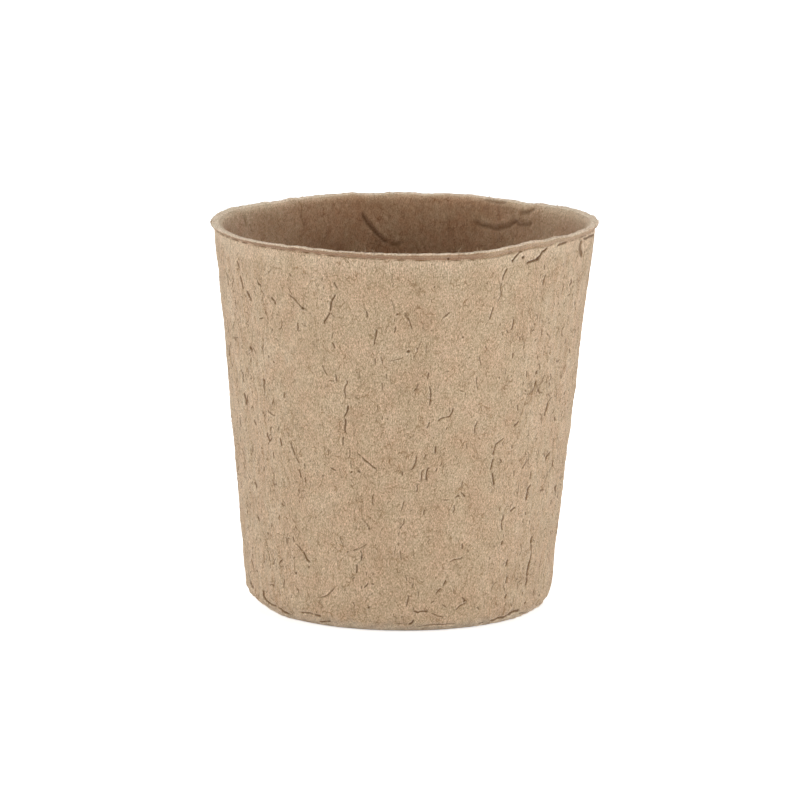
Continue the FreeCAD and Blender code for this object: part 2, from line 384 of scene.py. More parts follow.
# Creases of the wall as the photograph shows them: share of a plain crease, then x and y in pixels.
WALL_CREASES_PX = (
    (0.8, 226.5, 272, 227.7, 276, 228.7, 280.5, 229.2, 286),
    (0.7, 228.5, 327, 228.8, 332, 229.6, 335.5), (0.7, 229.8, 344, 230.4, 350, 231, 356),
    (0.6, 234.2, 336.5, 235.8, 341), (0.7, 237.5, 260, 238.4, 263, 239.8, 268.5),
    (0.7, 240.3, 275, 242.3, 282.7, 243.6, 290),
    (1.3, 246.2, 290, 247.7, 293, 248.8, 295.4, 250.4, 298.8, 251.5, 301.2),
    (1.1, 271.5, 296.5, 272.7, 298.8, 275, 301.2, 275.8, 305),
    (0.8, 288.5, 293.5, 291.9, 296.9, 295.4, 299.6, 297.7, 302.7, 301.9, 307.3, 308, 310.4),
    (0.5, 288.8, 287.3, 290.8, 291.9, 292.7, 295), (0.6, 289.2, 272.7, 292.3, 276.2),
    (0.9, 297.7, 321.9, 298.1, 327.3, 297.7, 331.5), (0.5, 301.2, 322.7, 303.5, 325, 307.3, 326.5),
    (0.7, 271.5, 328.5, 272.7, 330.8), (1.3, 249.3, 347, 250.6, 349, 251.8, 351.5),
    (0.8, 268.5, 355, 269.8, 358), (0.6, 273, 360.5, 275, 363), (0.5, 250.4, 357, 250, 362.7),
    (0.5, 241.2, 368, 243.5, 375, 243, 384), (0.5, 265, 311, 266.5, 315),
    (0.8, 334.2, 281.2, 335.4, 284.2, 336.2, 286, 338, 288.5), (0.5, 322.7, 277, 322.7, 280),
    (0.6, 324.2, 286.5, 324.2, 289.5),
    (1.2, 336.2, 293.5, 335, 295.8, 333, 299.2, 331.5, 302, 331.2, 305, 330.4, 312),
    (1.2, 330.4, 312, 327.7, 316.5, 324.6, 321.2, 324.4, 322.7, 325.4, 324.8),
    (0.5, 330.8, 312.7, 333.5, 315.8, 335, 317.3), (0.9, 366.2, 310.4, 367.3, 314.2, 367.3, 317.5),
    (0.5, 363.5, 308, 365, 309.2), (0.5, 390.8, 298, 393.8, 305, 394.4, 313),
    (0.8, 394.6, 319, 394.6, 321.5), (0.8, 395.9, 326, 395, 331.2, 394.2, 333),
    (0.9, 404.6, 311.2, 406.5, 315, 408.5, 318.8, 410, 322.7, 411.2, 326.5, 412.7, 330),
    (0.9, 376.9, 328.8, 376.5, 332.7, 375.8, 336.5, 374.6, 341.2, 374, 346),
    (0.7, 375.4, 358, 375.4, 362.7, 374.6, 365), (0.9, 332.3, 342, 333.8, 345, 335, 349),
    (0.5, 333, 332, 332, 338), (0.7, 380.8, 355.8, 381.9, 360.4, 383, 364.5),
    (0.5, 389.2, 361.2, 396.5, 359.6, 401.9, 358.5, 403.8, 356), (0.7, 416.5, 347.3, 417.3, 350.4),
    (0.7, 414.8, 355, 414.3, 358), (0.6, 386.2, 373, 386.9, 380),
    (0.8, 335.4, 374, 336.5, 380.4, 336.9, 382), (0.5, 328.8, 380.4, 335, 381.2),
    (0.6, 322.3, 364, 323, 367.5, 327.7, 375.8), (1.0, 434.2, 285.5, 434.4, 288),
    (0.6, 431.2, 298.8, 431.5, 303), (0.9, 441.9, 318.8, 443.8, 317.3, 446.2, 315.4, 449.8, 312),
    (1.2, 506.9, 267.7, 505.4, 270.4, 503.5, 274.2, 502.3, 277.3, 501.8, 280.5),
    (0.6, 501.5, 281, 500, 286, 500.4, 295.4, 498, 300.4, 496.5, 303.5),
    (1.0, 493.8, 306, 493, 308, 491.9, 311.9, 490.4, 316.5, 489.2, 320.6),
    (0.9, 514, 318, 513, 324.2, 512.3, 328.5, 510.4, 330.3), (0.8, 506.5, 329.5, 508.5, 333),
    (0.6, 501.9, 331.5, 502.7, 336), (0.5, 431.2, 318.8, 431.5, 324.2),
    (0.6, 422.7, 327.7, 425, 330.8), (0.6, 430.4, 331.2, 432.7, 329.6),
    (0.6, 426.5, 343.5, 426.5, 354.2), (0.6, 479.2, 355.8, 480.4, 362, 481.8, 366),
    (0.9, 485, 346.6, 486.6, 347.3), (0.8, 468.6, 357.7, 470, 357.7),
    (0.8, 504.5, 354.6, 505.8, 354.8), (0.8, 513.2, 352.5, 512, 358.8),
    (0.7, 447.5, 371, 448.8, 372), (0.8, 428.8, 372, 428.3, 376, 427.3, 379.8),
    (0.6, 476.9, 376.2, 476.9, 384, 478, 390.5), (0.5, 493.8, 296, 493.8, 299),
    (0.6, 498.8, 376.5, 499.6, 379), (0.6, 511.2, 375, 511.2, 378),
    (0.7, 543.8, 264.2, 544.2, 269.8), (1.1, 545.4, 274.2, 544.2, 278, 543, 281.9, 542.7, 285.6),
    (0.5, 540.4, 273.5, 539.2, 276.8), (0.8, 570.4, 279, 570.8, 281.9, 568.8, 286),
    (1.0, 575.4, 300, 574.8, 302.7, 575.4, 305.4), (0.5, 556.9, 291.5, 556.9, 295.3),
    (0.6, 541.9, 319, 542, 323), (0.6, 541.2, 328.8, 541.5, 336), (0.5, 533.5, 323, 534.6, 325.5),
    (0.5, 530.4, 331.2, 534.2, 329.2), (0.6, 565.8, 338, 564.6, 344.2),
    (0.6, 575, 328.8, 574.2, 338), (0.5, 569.6, 348, 568.8, 353.5),
    (0.6, 556, 360.5, 558, 361.5, 559.8, 359.4), (0.5, 537.3, 355.5, 537, 359),
    (0.8, 526.4, 370.4, 526.5, 377.3), (0.5, 505.8, 368, 505.4, 375),
    (0.5, 519.6, 336, 519.6, 340),
    (0.9, 263, 377.3, 264.6, 382, 263.6, 385.5, 264, 388.5, 265.2, 392, 265.8, 394),
    (1.1, 243.5, 392.2, 244.6, 395.3, 246.2, 400, 246.4, 401.5, 245.8, 403.4, 246.9, 405),
    (0.7, 236.5, 419.5, 236.5, 423), (0.8, 240, 417, 240.4, 420.3, 239.6, 424),
    (0.6, 239.2, 427, 239.4, 431), (0.5, 239.2, 435.7, 240, 441.8),
    (0.9, 253.5, 419.9, 254.6, 422.6, 256.5, 425.7), (0.6, 263, 411, 264.2, 414),
    (0.5, 268, 409.5, 269.2, 411.8, 271.9, 414.2, 275.8, 415.7), (0.6, 268.8, 418.8, 269.2, 421.5),
    (1.3, 267.7, 431.8, 268, 435.3, 269.2, 438.8, 270.4, 441.7),
    (0.9, 280, 437.2, 280.8, 441, 281.8, 444.9, 281.9, 446.7),
    (0.7, 284.2, 391.8, 284.4, 395, 283.8, 398.5), (0.6, 273.5, 400.3, 272.7, 405),
    (1.0, 290.5, 442, 291.9, 447.2, 293.8, 451.8, 295.6, 456),
    (0.8, 295.6, 456, 297.7, 460.3, 299.5, 463.5), (0.7, 298.8, 468.5, 300.8, 475, 301.2, 478.5),
    (0.5, 304.6, 462.6, 305, 469), (0.6, 305.4, 476.5, 306.5, 483.8),
    (0.7, 263.8, 466.5, 263.5, 471), (0.7, 253.5, 481.8, 255.4, 485.7, 255.8, 489),
    (0.7, 255.4, 498.5, 255.4, 503), (0.6, 298.8, 488.5, 298.8, 493.5),
    (0.5, 299.6, 500, 299.6, 503), (0.5, 273, 451.8, 274.2, 459), (0.5, 315, 451, 317.3, 454.2),
    (0.5, 309.5, 460.5, 311.2, 461.5), (0.8, 321.5, 475.8, 323.2, 476.3),
    (0.5, 261.3, 447, 262.4, 449), (0.5, 252, 443.5, 252.8, 446), (0.5, 242.3, 451, 242.7, 455),
    (0.5, 328.5, 448.8, 328.5, 455.7),
    (0.8, 346, 379, 347.3, 383.5, 345.3, 386, 344.6, 392, 345.5, 398),
    (1.0, 348.3, 405, 348, 409, 346.5, 413, 344, 417.5), (1.1, 345, 418, 345.3, 426, 344.8, 433.6),
    (0.9, 343.6, 436, 342.8, 441, 342.7, 446), (0.6, 356.5, 451.8, 361.2, 456.5),
    (1.1, 361.2, 456.5, 364.4, 460, 366.9, 461.8, 370.8, 465.2, 374.2, 467.6, 377.3, 469.7),
    (1.1, 357.5, 470.2, 359, 471.8, 361, 472.8), (0.8, 330, 467.6, 333.5, 469.5, 336.5, 470.7),
    (0.5, 377.7, 405, 378, 413), (0.5, 382.3, 416, 382.3, 420.5), (0.6, 387.7, 418, 387.7, 420.5),
    (0.6, 376.4, 419, 376.4, 421), (0.7, 381.7, 382, 382.6, 387, 382.3, 391.5),
    (0.8, 418.5, 383.4, 416.9, 388, 413.5, 392.2),
    (0.9, 428.8, 385.3, 430.4, 389, 430.8, 393.5, 430.3, 401, 429.6, 407.2),
    (0.8, 416.5, 455, 415.8, 461.8, 414.2, 466.5, 412.3, 469.2, 409.4, 469.9),
    (1.0, 402.3, 471, 402.3, 475.5), (0.6, 425.8, 454, 425, 457.2, 423.5, 460),
    (1.1, 429.6, 467, 427.3, 469.5, 426.4, 473.4, 426.2, 477, 426.6, 481.5),
    (0.8, 424.2, 468.8, 421.9, 471.8, 421.5, 477.2, 420.8, 482),
    (0.7, 418.8, 483.5, 417.3, 485.5, 417.3, 489.5, 416.5, 493),
    (0.5, 350, 449, 350, 455, 348.5, 459), (0.5, 350.8, 460.5, 351.5, 468),
    (0.6, 374.2, 493.4, 372.3, 498.8, 373, 505), (0.5, 410.4, 437, 410.4, 439),
    (0.6, 433.5, 436.5, 433.5, 439),
    (1.1, 453.5, 407.6, 452.7, 411.5, 451.2, 414.2, 449.6, 416.8, 445.8, 417.2),
    (1.0, 445.8, 417.2, 441.9, 418.4, 439.2, 420.3, 437.5, 421),
    (0.9, 429.6, 422, 428.5, 425.7, 426.9, 428.6), (0.6, 449.6, 408, 449.5, 412),
    (1.0, 477.7, 421, 476.5, 424.2, 474.8, 426.5, 474.6, 429.5, 475, 433.6),
    (0.9, 517.3, 404.5, 517.7, 408.8, 518.3, 411.3),
    (1.0, 518.8, 420.7, 517.3, 423.4, 515.4, 425, 513.5, 426.5),
    (0.9, 505, 437, 502.5, 439.7, 498.8, 442.2, 495.8, 444.5, 494.6, 448.8, 492.3, 456.5),
    (1.2, 494.2, 458, 492.7, 460.3, 491.9, 463.4, 491.2, 467.2, 490, 470.7),
    (1.2, 492.3, 472, 492.7, 475.7, 493.3, 479.5, 493.8, 483.4, 494.6, 486.3),
    (0.5, 492.3, 489, 491.9, 493.5), (0.6, 503, 441.5, 503.5, 446), (1.0, 512, 444.9, 512.5, 449),
    (0.9, 499.8, 458.5, 501.5, 461.5, 500.8, 463.6),
    (0.8, 526.5, 458.5, 526.2, 462, 524, 466, 522, 469.8),
    (0.8, 531.5, 471, 530.8, 476.5, 529.8, 479.8),
    (1.2, 531.4, 484, 528.5, 488, 526.7, 493, 526, 497.2, 526, 501.2),
    (1.1, 436, 446, 435.4, 450, 435, 454), (0.9, 437.3, 467.8, 435.8, 471.7),
    (0.6, 441.9, 462.2, 440.8, 466), (0.5, 466.9, 443, 466.5, 449),
    (0.6, 462.7, 479.5, 461.9, 484.2, 462.3, 488.8), (1.0, 461, 492, 463.5, 494.9, 465, 497.3),
    (1.0, 455.6, 497.8, 458, 495.7, 459.8, 496.6), (0.6, 474.8, 489, 476, 490),
    (0.6, 446.9, 427.5, 446.9, 430), (0.5, 460, 390.3, 463, 392), (0.6, 465.8, 392.5, 465.8, 395),
    (0.5, 514.2, 470, 513.6, 477), (0.5, 443.5, 500.3, 449.6, 499.7),
    (0.9, 536.4, 380, 535.8, 382, 534.6, 386.5, 533, 389.7, 531.5, 393.4),
    (0.8, 556.6, 394.5, 556.5, 399.8), (0.6, 561, 398, 560, 403), (0.9, 566.4, 391, 563.8, 394.4),
    (1.1, 547.5, 402, 546.9, 405, 545.8, 409.5, 545, 413.4, 544.6, 416.8),
    (0.8, 555.4, 417, 555.4, 421.3), (0.8, 550.4, 452, 548.5, 454.2, 546.2, 458, 545, 462.8),
    (0.5, 543.8, 453, 544.8, 457), (0.6, 559.6, 473, 558.5, 479),
    (0.8, 556.5, 484.5, 555, 488, 555.4, 492, 555.2, 496), (0.5, 538, 480.5, 538, 483),
    (0.5, 543.8, 488.8, 540.8, 491), (0.5, 551.5, 499.5, 550.8, 505),
    (0.6, 513, 419.5, 513.2, 421.5), (0.9, 293.2, 536.2, 293.8, 538.5, 294.6, 542),
    (0.6, 296, 543.5, 299.2, 547, 303, 551.5),
    (1.3, 303, 551.5, 304.6, 554.6, 306.2, 558.5, 307.7, 560.8, 310.4, 562.3),
    (0.7, 271.5, 523, 271.5, 527), (0.6, 267.5, 532, 267.5, 534.6),
    (0.6, 279.2, 514.6, 280, 517.7), (0.6, 295.4, 526.2, 297.7, 529.2),
    (0.5, 288.5, 537, 287.7, 543.8), (0.7, 247.7, 542.3, 248, 545.4),
    (0.7, 252, 547, 252.7, 549.2), (0.5, 252.3, 553.8, 252.3, 557),
    (0.6, 283.5, 577.7, 284.2, 581.5, 283.5, 584.6, 283.8, 588.5),
    (0.5, 295.8, 587, 298, 590.8, 298.5, 593.8),
    (0.7, 248.5, 573.8, 250.4, 581.5, 252, 586.2, 254.2, 588), (0.6, 372.3, 502.3, 373, 505.4),
    (0.7, 404.2, 500.8, 402.7, 507, 401.2, 511.5), (0.6, 404.6, 518.5, 403.8, 523.8, 401.5, 526.2),
    (0.9, 401.5, 526.2, 399.6, 529.6), (0.6, 399, 532, 398.8, 536),
    (0.5, 398, 542.3, 398.5, 546.2), (0.5, 400.4, 550, 400.8, 556.2, 401.2, 561.5),
    (0.8, 425, 509.2, 423.5, 514.6), (0.5, 413, 510, 409.2, 512),
    (0.5, 361.2, 518, 366.2, 523, 368.5, 527), (0.9, 368.5, 527, 369.6, 530),
    (0.8, 340.4, 536, 340.8, 540), (0.5, 340.8, 540, 342.7, 544.6, 343.8, 547.7),
    (1.0, 353, 550.8, 355.4, 549.8, 358.8, 548.6), (0.6, 358.8, 548.6, 363.8, 546.5, 367, 543.8),
    (0.7, 360, 550, 361.9, 553, 361.9, 557.7, 361.2, 561.5),
    (1.0, 356.9, 563.8, 356.9, 567.7, 356.4, 573.8), (0.6, 355, 577.3, 352, 579.6),
    (0.6, 365.8, 571.5, 367, 575.4), (0.9, 371.5, 583.5, 374.2, 584.6),
    (0.8, 368.5, 583, 366.2, 585.8, 363.8, 588), (0.7, 361.5, 585.4, 361.5, 589.2),
    (0.6, 372, 592.3, 372.3, 595.4), (0.5, 352, 600.8, 354.6, 605.4, 354.6, 607.3),
    (0.8, 409.2, 594.6, 408, 600, 406.2, 607.7), (0.6, 402.3, 615.4, 401.2, 618.5),
    (0.6, 413, 583, 413, 585.4, 412, 588.5), (0.6, 405.8, 577, 407.3, 581.5),
    (0.5, 418, 590.8, 418.5, 597), (0.5, 393, 614.6, 397, 618.5), (0.6, 413.8, 607, 413, 610),
    (1.2, 412.3, 610.8, 417.7, 612.5, 420.8, 611.5, 429.2, 611.3),
    (0.7, 430.5, 613, 437.7, 616.5, 444.6, 617),
    (0.7, 334.4, 587.2, 332.5, 590.4, 328, 594.8, 324.2, 596.8, 319.7, 597.4),
    (0.8, 454.6, 504.6, 454.5, 509.2, 452.7, 513.8), (0.7, 499.6, 507.7, 499.6, 511.5),
    (1.1, 503.5, 515, 503.5, 518.5, 501.5, 522.3), (0.9, 501.5, 522.3, 501.4, 526.2, 502.3, 530.8),
    (1.0, 515.4, 507, 512.7, 509.2, 510, 511.5), (0.5, 503.8, 533.8, 503, 538.5),
    (1.2, 503, 540.5, 501.5, 545.4), (0.8, 525.4, 511.5, 525.4, 515.4),
    (0.8, 523.5, 518.5, 522.7, 523), (0.8, 529.2, 520, 529.2, 523.8),
    (1.3, 533, 536, 532, 539.2, 531.5, 543.8), (0.8, 531.5, 543.8, 531.5, 552.3, 530.4, 559.2),
    (1.2, 530.4, 559.2, 528.8, 566.2, 528, 571.5, 527.7, 577),
    (0.8, 527.7, 577, 528, 581.5, 526.2, 587), (0.6, 458.5, 539.5, 458.6, 541.5),
    (0.9, 462, 543, 462, 549.2), (1.1, 462, 556.5, 460.8, 558.8),
    (0.8, 460.8, 558.8, 453.8, 559.6, 449.2, 562.3), (0.6, 466.9, 551, 468.5, 552),
    (1.1, 446, 579.5, 445.4, 581.5, 443.8, 584.6, 443.3, 586.5),
    (1.1, 441, 588, 439.2, 590, 435.8, 593.8), (0.6, 453.8, 589, 453.8, 591.5),
    (1.0, 461.2, 597, 464.6, 600, 467, 602.3), (0.8, 467, 602.3, 460, 605.4, 455.4, 610.8),
    (0.7, 441.5, 604.6, 447, 607.7), (0.7, 430.8, 603.5, 434.6, 600.8),
    (0.7, 476.2, 607, 479.2, 609.6), (1.3, 508, 559.2, 507.3, 562.3, 505.8, 567),
    (0.6, 490, 557, 489.6, 560), (1.5, 507.7, 576.2, 505.8, 581.5, 506.5, 584),
    (1.4, 507, 593.8, 504.6, 598.5), (0.8, 506.2, 602.3, 505.8, 604),
    (0.8, 527, 602.3, 525.8, 604.5), (0.7, 551.2, 532, 550, 533.8), (0.6, 548, 552.3, 547.7, 557),
    (0.7, 544.6, 573.8, 543.8, 577), (0.5, 539.6, 596.2, 541, 594.5),
)
# Pits of the wall, dark with painted shade: width in millimetres, then the pixel.
WALL_PITS_PX = (
    (0.2, 397.3, 313.8), (0.3, 408.5, 350.8), (0.22, 302.7, 307.7), (0.18, 351.5, 471.6),
    (0.22, 368.8, 607.2), (0.18, 463, 337), (0.18, 525.6, 390.3), (0.22, 295.8, 572.7),
    (0.18, 308.5, 566.5), (0.26, 256.9, 597.7), (0.2, 463.8, 600.8), (0.16, 361.6, 557.3),
    (0.18, 545.4, 536.5), (0.18, 348, 551.5),
)
PLAIN_CREASE_DEPTH = 0.19
PLAIN_CREASE_WIDTH = 0.125
WALL_PIT_SHADE = 1.3

# Bands of height: start, rise above it, end, and fall below it.
WALL_BAND = (0.4, 3.0, LIP_FOOT, 2.5)
FLARE_BAND = (62.0, LIP_FOOT - 66.0, POT_HEIGHT - LIP_LAND, LIP_HEIGHT)
FOOT_BAND = (0.0, 0.8, 5.5, 3.0)
PRESSED_BAND = (0.0, 0.8, 3.8, 3.0)
SHRINK_BAND = (2.0, 3.0, LIP_FOOT - 0.8, 2.0)
LIP_FOOT_BAND = (LIP_FOOT - 4.0, 3.5, POT_HEIGHT - 0.15, 1.1)

# Layers of noise: size, width and height of the features, and seed.
LUMPS = ((0.20, 15, 22, 21), (0.14, 6, 10, 22))
WRINKLES = ((0.06, 2.4, 8.0, 23), (0.065, 1.2, 3.6, 24), (0.04, 0.8, 2.4, 27))
GRAIN = ((0.022, 0.65, 1.6, 25), (0.014, 0.4, 0.8, 26))
FOOT_LUMPS = ((0.28, 3.2, 3.0, 28), (0.1, 1.5, 1.6, 29))
LIP_LUMPS = ((0.05, 3.0, 1.5, 81), (0.035, 1.0, 0.8, 82))
INNER_LUMPS = ((0.20, 11, 9, 93),)
INNER_WRINKLES = ((0.06, 4.5, 4, 94), (0.06, 1.7, 1.9, 95))
INNER_GRAIN = ((0.02, 0.9, 0.9, 96),)
INNER_MOTTLE = ((0.06, 3.5, 3, 98), (0.2, 1.1, 1.1, 99))
# Sizes of the shifts that bend the wrinkles: shift, width and height of its features, first seed.
OUTER_BEND = (1.6, 7, 9, 11)
INNER_BEND = (1.2, 8, 8, 91)

# Where the sides of the pot start, as a sine of the turn, and the run over which they do.
SIDE_START, SIDE_RUN = 0.45, 0.4
# How rough the wall is: everywhere, more near the foot, up to a height and over a run, and more at
# the sides; the size of its wrinkles, and more at the sides; and how much their ridges are painted
# paler and their hollows darker, partly as painted shade and light of the relief, partly as worn
# pulp.
ROUGHNESS, FOOT_ROUGHNESS, SIDE_ROUGHNESS = 0.45, 0.45, 0.7
ROUGH_FOOT_HEIGHT, ROUGH_FOOT_RUN = 8, 40
WRINKLE_SIZE, SIDE_WRINKLE_SIZE = 0.6, 1.15
WRINKLE_SHADE_AND_WEAR = 1.4
# Painted light on the foot's lowest edge, standing in for light from the floor: how much, and up to
# which height.
FOOT_PAINTED_LIGHT, FOOT_LIGHT_HEIGHT = 0.95, 2.8
# How much the wall stands out over its cone just below the lip.
FLARE_LIFT = 0.22
# Where the foot was squeezed in while wet: middle and half its reach, in degrees from the front.
PRESSED_FOOT = (-78.0, 26.0)
PRESSED_DEPTH = 0.75


def side_share(skin):
    """0 at the front and the back of the pot, 1 at its sides."""
    return smooth_step((np.abs(np.sin(skin.turn)) - SIDE_START) / SIDE_RUN)[None, :]


def wall_skin(outer):
    """Lumps and wrinkles that drying pulp gets, drawn out upwards and stronger near the foot."""
    heights = outer.heights()
    on_wall = band(heights, *WALL_BAND)
    low = 1 - smooth_step((heights - ROUGH_FOOT_HEIGHT) / ROUGH_FOOT_RUN)
    side = side_share(outer)
    rough = ROUGHNESS + FOOT_ROUGHNESS * low * (1 - side) + SIDE_ROUGHNESS * side
    wrinkles = outer.layered(WRINKLES, outer.bend(*OUTER_BEND))
    wrinkles *= WRINKLE_SIZE + SIDE_WRINKLE_SIZE * side
    outer.lift += on_wall * rough * (outer.layered(LUMPS) + wrinkles)
    outer.lift += (0.4 + 0.6 * on_wall) * outer.layered(GRAIN)
    outer.lift += FLARE_LIFT * band(heights, *FLARE_BAND)
    # Ridges painted paler and hollows darker: partly painted shade and light of the relief, partly
    # worn pulp.
    outer.pale += WRINKLE_SHADE_AND_WEAR * on_wall * rough * wrinkles


def foot_skin(outer):
    """The foot's lumps, painted light from the floor on its lowest edge, and the stretch that was
    squeezed in.
    """
    heights = outer.heights()
    middle, reach = np.radians(PRESSED_FOOT)
    along = smooth_step(1.6 * (1 - np.abs(outer.turn - middle) / reach))[None, :]
    outer.lift += band(heights, *FOOT_BAND) * outer.layered(FOOT_LUMPS)
    outer.lift -= PRESSED_DEPTH * along * band(heights, *PRESSED_BAND)
    outer.pale += FOOT_PAINTED_LIGHT * (1 - smooth_step(heights / FOOT_LIGHT_HEIGHT))


# Shrink lines: width and height of the bends, seed, depth, line width, share shown, painted shade.
SHRINK_LINES = (
    (5.5, 15.0, 31, 0.20, 0.15, 0.26, 1.0),
    (3.2, 8.0, 41, 0.14, 0.14, 0.34, 1.0),
    (1.7, 4.2, 51, 0.09, 0.12, 0.36, 0.95),
    (2.6, 2.2, 61, 0.06, 0.11, 0.20, 0.8),
)


def shrink_lines(outer):
    """Fine broken creases where the skin has shrunk, mostly upright, with painted shade in the line
    and one edge standing up with a painted highlight.
    """
    on_wall = band(outer.heights(), *SHRINK_BAND)
    for wide, tall, seed, depth, width, share, dark in SHRINK_LINES:
        bend = outer.bend(0.35 * wide, 0.6 * wide, 0.5 * wide, seed + 1)
        field = outer.noise(wide, tall, seed, bend)
        away = outer.far_from_zero(field)
        patches = outer.noise(0.9 * wide, 0.55 * tall, seed + 3)
        shown = smooth_step((patches - 0.62 + 1.4 * share) * 2.2)
        uneven = 0.65 + 0.5 * outer.noise(0.7, 1.1, seed + 4)
        strength = on_wall * shown * uneven * (0.5 + 0.9 * side_share(outer))
        line = hump(away, width) * strength
        edge = hump(away - 2.4 * width, 1.4 * width) * strength * (field > 0)
        outer.lift += depth * (0.3 * edge - line)
        outer.dark[:] = np.maximum(outer.dark, dark * line)
        outer.pale += 0.25 * dark * edge


def seen_width(turn):
    """How much wider a crease is made off the front, where the camera sees the wall at a slant."""
    return 1 / max(math.cos(turn), 0.4)


def wander(ends, rng, amount):
    """A line through its ends with small sideways steps between them, as a tear in pulp has."""
    step_length = 0.6
    points = [ends[0]]
    for first, last in zip(ends, ends[1:]):
        run = math.hypot((last[0] - first[0]) * RIM_RADIUS, last[1] - first[1])
        pieces = max(1, round(run / step_length))
        for i in range(1, pieces + 1):
            share = i / pieces
            step = rng.normal(0, amount) if i < pieces else 0.0
            points.append((
                first[0] + (last[0] - first[0]) * share + step / RIM_RADIUS,
                first[1] + (last[1] - first[1]) * share + 0.5 * step,
            ))
    return points


def line_on_skin(skin, numbers, rng, amount):
    """A line read from the photograph, set on the skin, and how much wider a crease is there."""
    line = wander([pixel_on_skin(pixel, skin) for pixel in pairs(numbers)], rng, amount)
    return line, seen_width(line[len(line) // 2][0])


def photo_creases(outer):
    """The creases that the photograph shows, set on the wall where the camera sees them."""
    rng = np.random.default_rng(51)
    for strength, *numbers in WALL_CREASES_PX:
        line, wider = line_on_skin(outer, numbers, rng, 0.05)
        depth = PLAIN_CREASE_DEPTH * strength / math.sqrt(wider)
        width = PLAIN_CREASE_WIDTH * (0.6 + 0.5 * strength) * wider**1.1
        # Each crease gets painted shade in its groove, more at the sides.
        outer.press_line(line, depth, width, 0.58 + 0.42 * strength + 0.1 * (wider - 1))
    for width, *pixel in WALL_PITS_PX:
        turn, height = pixel_on_skin(pixel, outer)
        ends = [(turn - width / RIM_RADIUS, height), (turn + width / RIM_RADIUS, height - width)]
        outer.press_line(ends, width, width, WALL_PIT_SHADE)


# Scattered creases: how many, between which heights, and from which turn on they are larger ones.
SCATTERED_CREASES = 1100
SCATTER_LOW, SCATTER_HIGH = 2.0, LIP_FOOT - 1.0
BEHIND = math.radians(75)


def scattered_creases(outer):
    """Small creases and flecks all round, mostly upright, longer ones off the photographed side."""
    rng = np.random.default_rng(61)
    for _ in range(SCATTERED_CREASES):
        turn = rng.uniform(-math.pi, math.pi)
        height = 4 + (LIP_FOOT - 6) * rng.uniform() ** 1.1
        behind = abs(turn) > BEHIND
        half = min(rng.gamma(2.0, 1.2 if behind else 0.7), 12.0) / 2
        strength = (0.12 + 0.55 * rng.uniform() ** 2) * (2.3 if behind else 1.0)
        lean = rng.normal(0, 0.35)
        across, up = math.sin(lean) * half / RIM_RADIUS, math.cos(lean) * half
        middle = (turn + rng.normal(0, 0.25) / RIM_RADIUS, height)
        ends = [(turn + across, height + up), middle, (turn - across, height - up)]
        ends = [(a, min(max(b, SCATTER_LOW), SCATTER_HIGH)) for a, b in ends]
        line = wander(ends, rng, 0.13)
        width = PLAIN_CREASE_WIDTH * rng.uniform(0.6, 0.9) * (1.5 if behind else seen_width(turn))
        # The crease gets painted shade in its groove and a painted highlight on its raised edge.
        outer.press_line(line, 0.6 * PLAIN_CREASE_DEPTH * strength, width, strength)


# The pinched seam over the foot as the photograph shows it: share of a plain one, then x and y.
FOOT_SEAM_PX = (
    (1.1, 262.3, 588.5, 263.7, 592, 264.2, 595.5, 267, 600.3, 271.4, 604.8, 277, 607.2),
    (1.3, 277, 607.2, 280.8, 609.6, 283.1, 611.5, 287.7, 613.3, 292.2, 616),
    (0.8, 300, 612.8, 310, 613.2, 314.6, 614.6), (1.3, 314.6, 614.6, 318, 615.4, 321.5, 616),
    (1.2, 319.2, 621.2, 325.4, 621.4, 331, 622.3), (0.6, 395, 624.6, 404, 624.2, 408.5, 623.8),
    (1.3, 408.5, 623.8, 411, 623.2, 412.7, 621.5, 413.6, 619.6),
    (0.7, 414.6, 626.2, 422.3, 626.2, 430, 624.8, 440, 624.2, 457.7, 623.8),
    (0.9, 476.9, 624.2, 483.8, 623.5),
    (1.4, 488, 621.5, 490.8, 620, 496.2, 619.2, 500, 617.7, 506.3, 615.4, 513, 613.2),
    (1.4, 507.5, 615.2, 511, 614.2, 515, 612.3, 520, 610),
)
# Stretches of the seam round the whole foot, and half the turn in degrees where they are left out
# for the photographed ones.
SEAM_STRETCHES = 26
SEAM_READ_HALF = 62


def foot_seam(outer):
    """The dark pinched line round the foot, with a bead below it: strongest where photographed."""
    rng = np.random.default_rng(71)
    for strength, *numbers in FOOT_SEAM_PX:
        line, wider = line_on_skin(outer, numbers, rng, 0.05)
        width = 0.14 * math.sqrt(wider)
        # The seam's groove gets painted shade.
        outer.press_line(line, 0.22 * strength, width, 1.1 * strength, 0.9)
    stretch = FULL_TURN / SEAM_STRETCHES
    for i in range(SEAM_STRETCHES):
        start = -math.pi + stretch * i
        if abs(start + stretch / 2) < math.radians(SEAM_READ_HALF):
            continue
        run = stretch * rng.uniform(0.5, 1.15)
        level = SEAM_HEIGHT + rng.normal(0, 0.35)
        ends = [(start + run * k / 4, level + rng.normal(0, 0.16)) for k in range(5)]
        outer.press_line(wander(ends, rng, 0.06), 0.3 * rng.uniform(0.4, 1.2), 0.2, 0.8, 0.7)


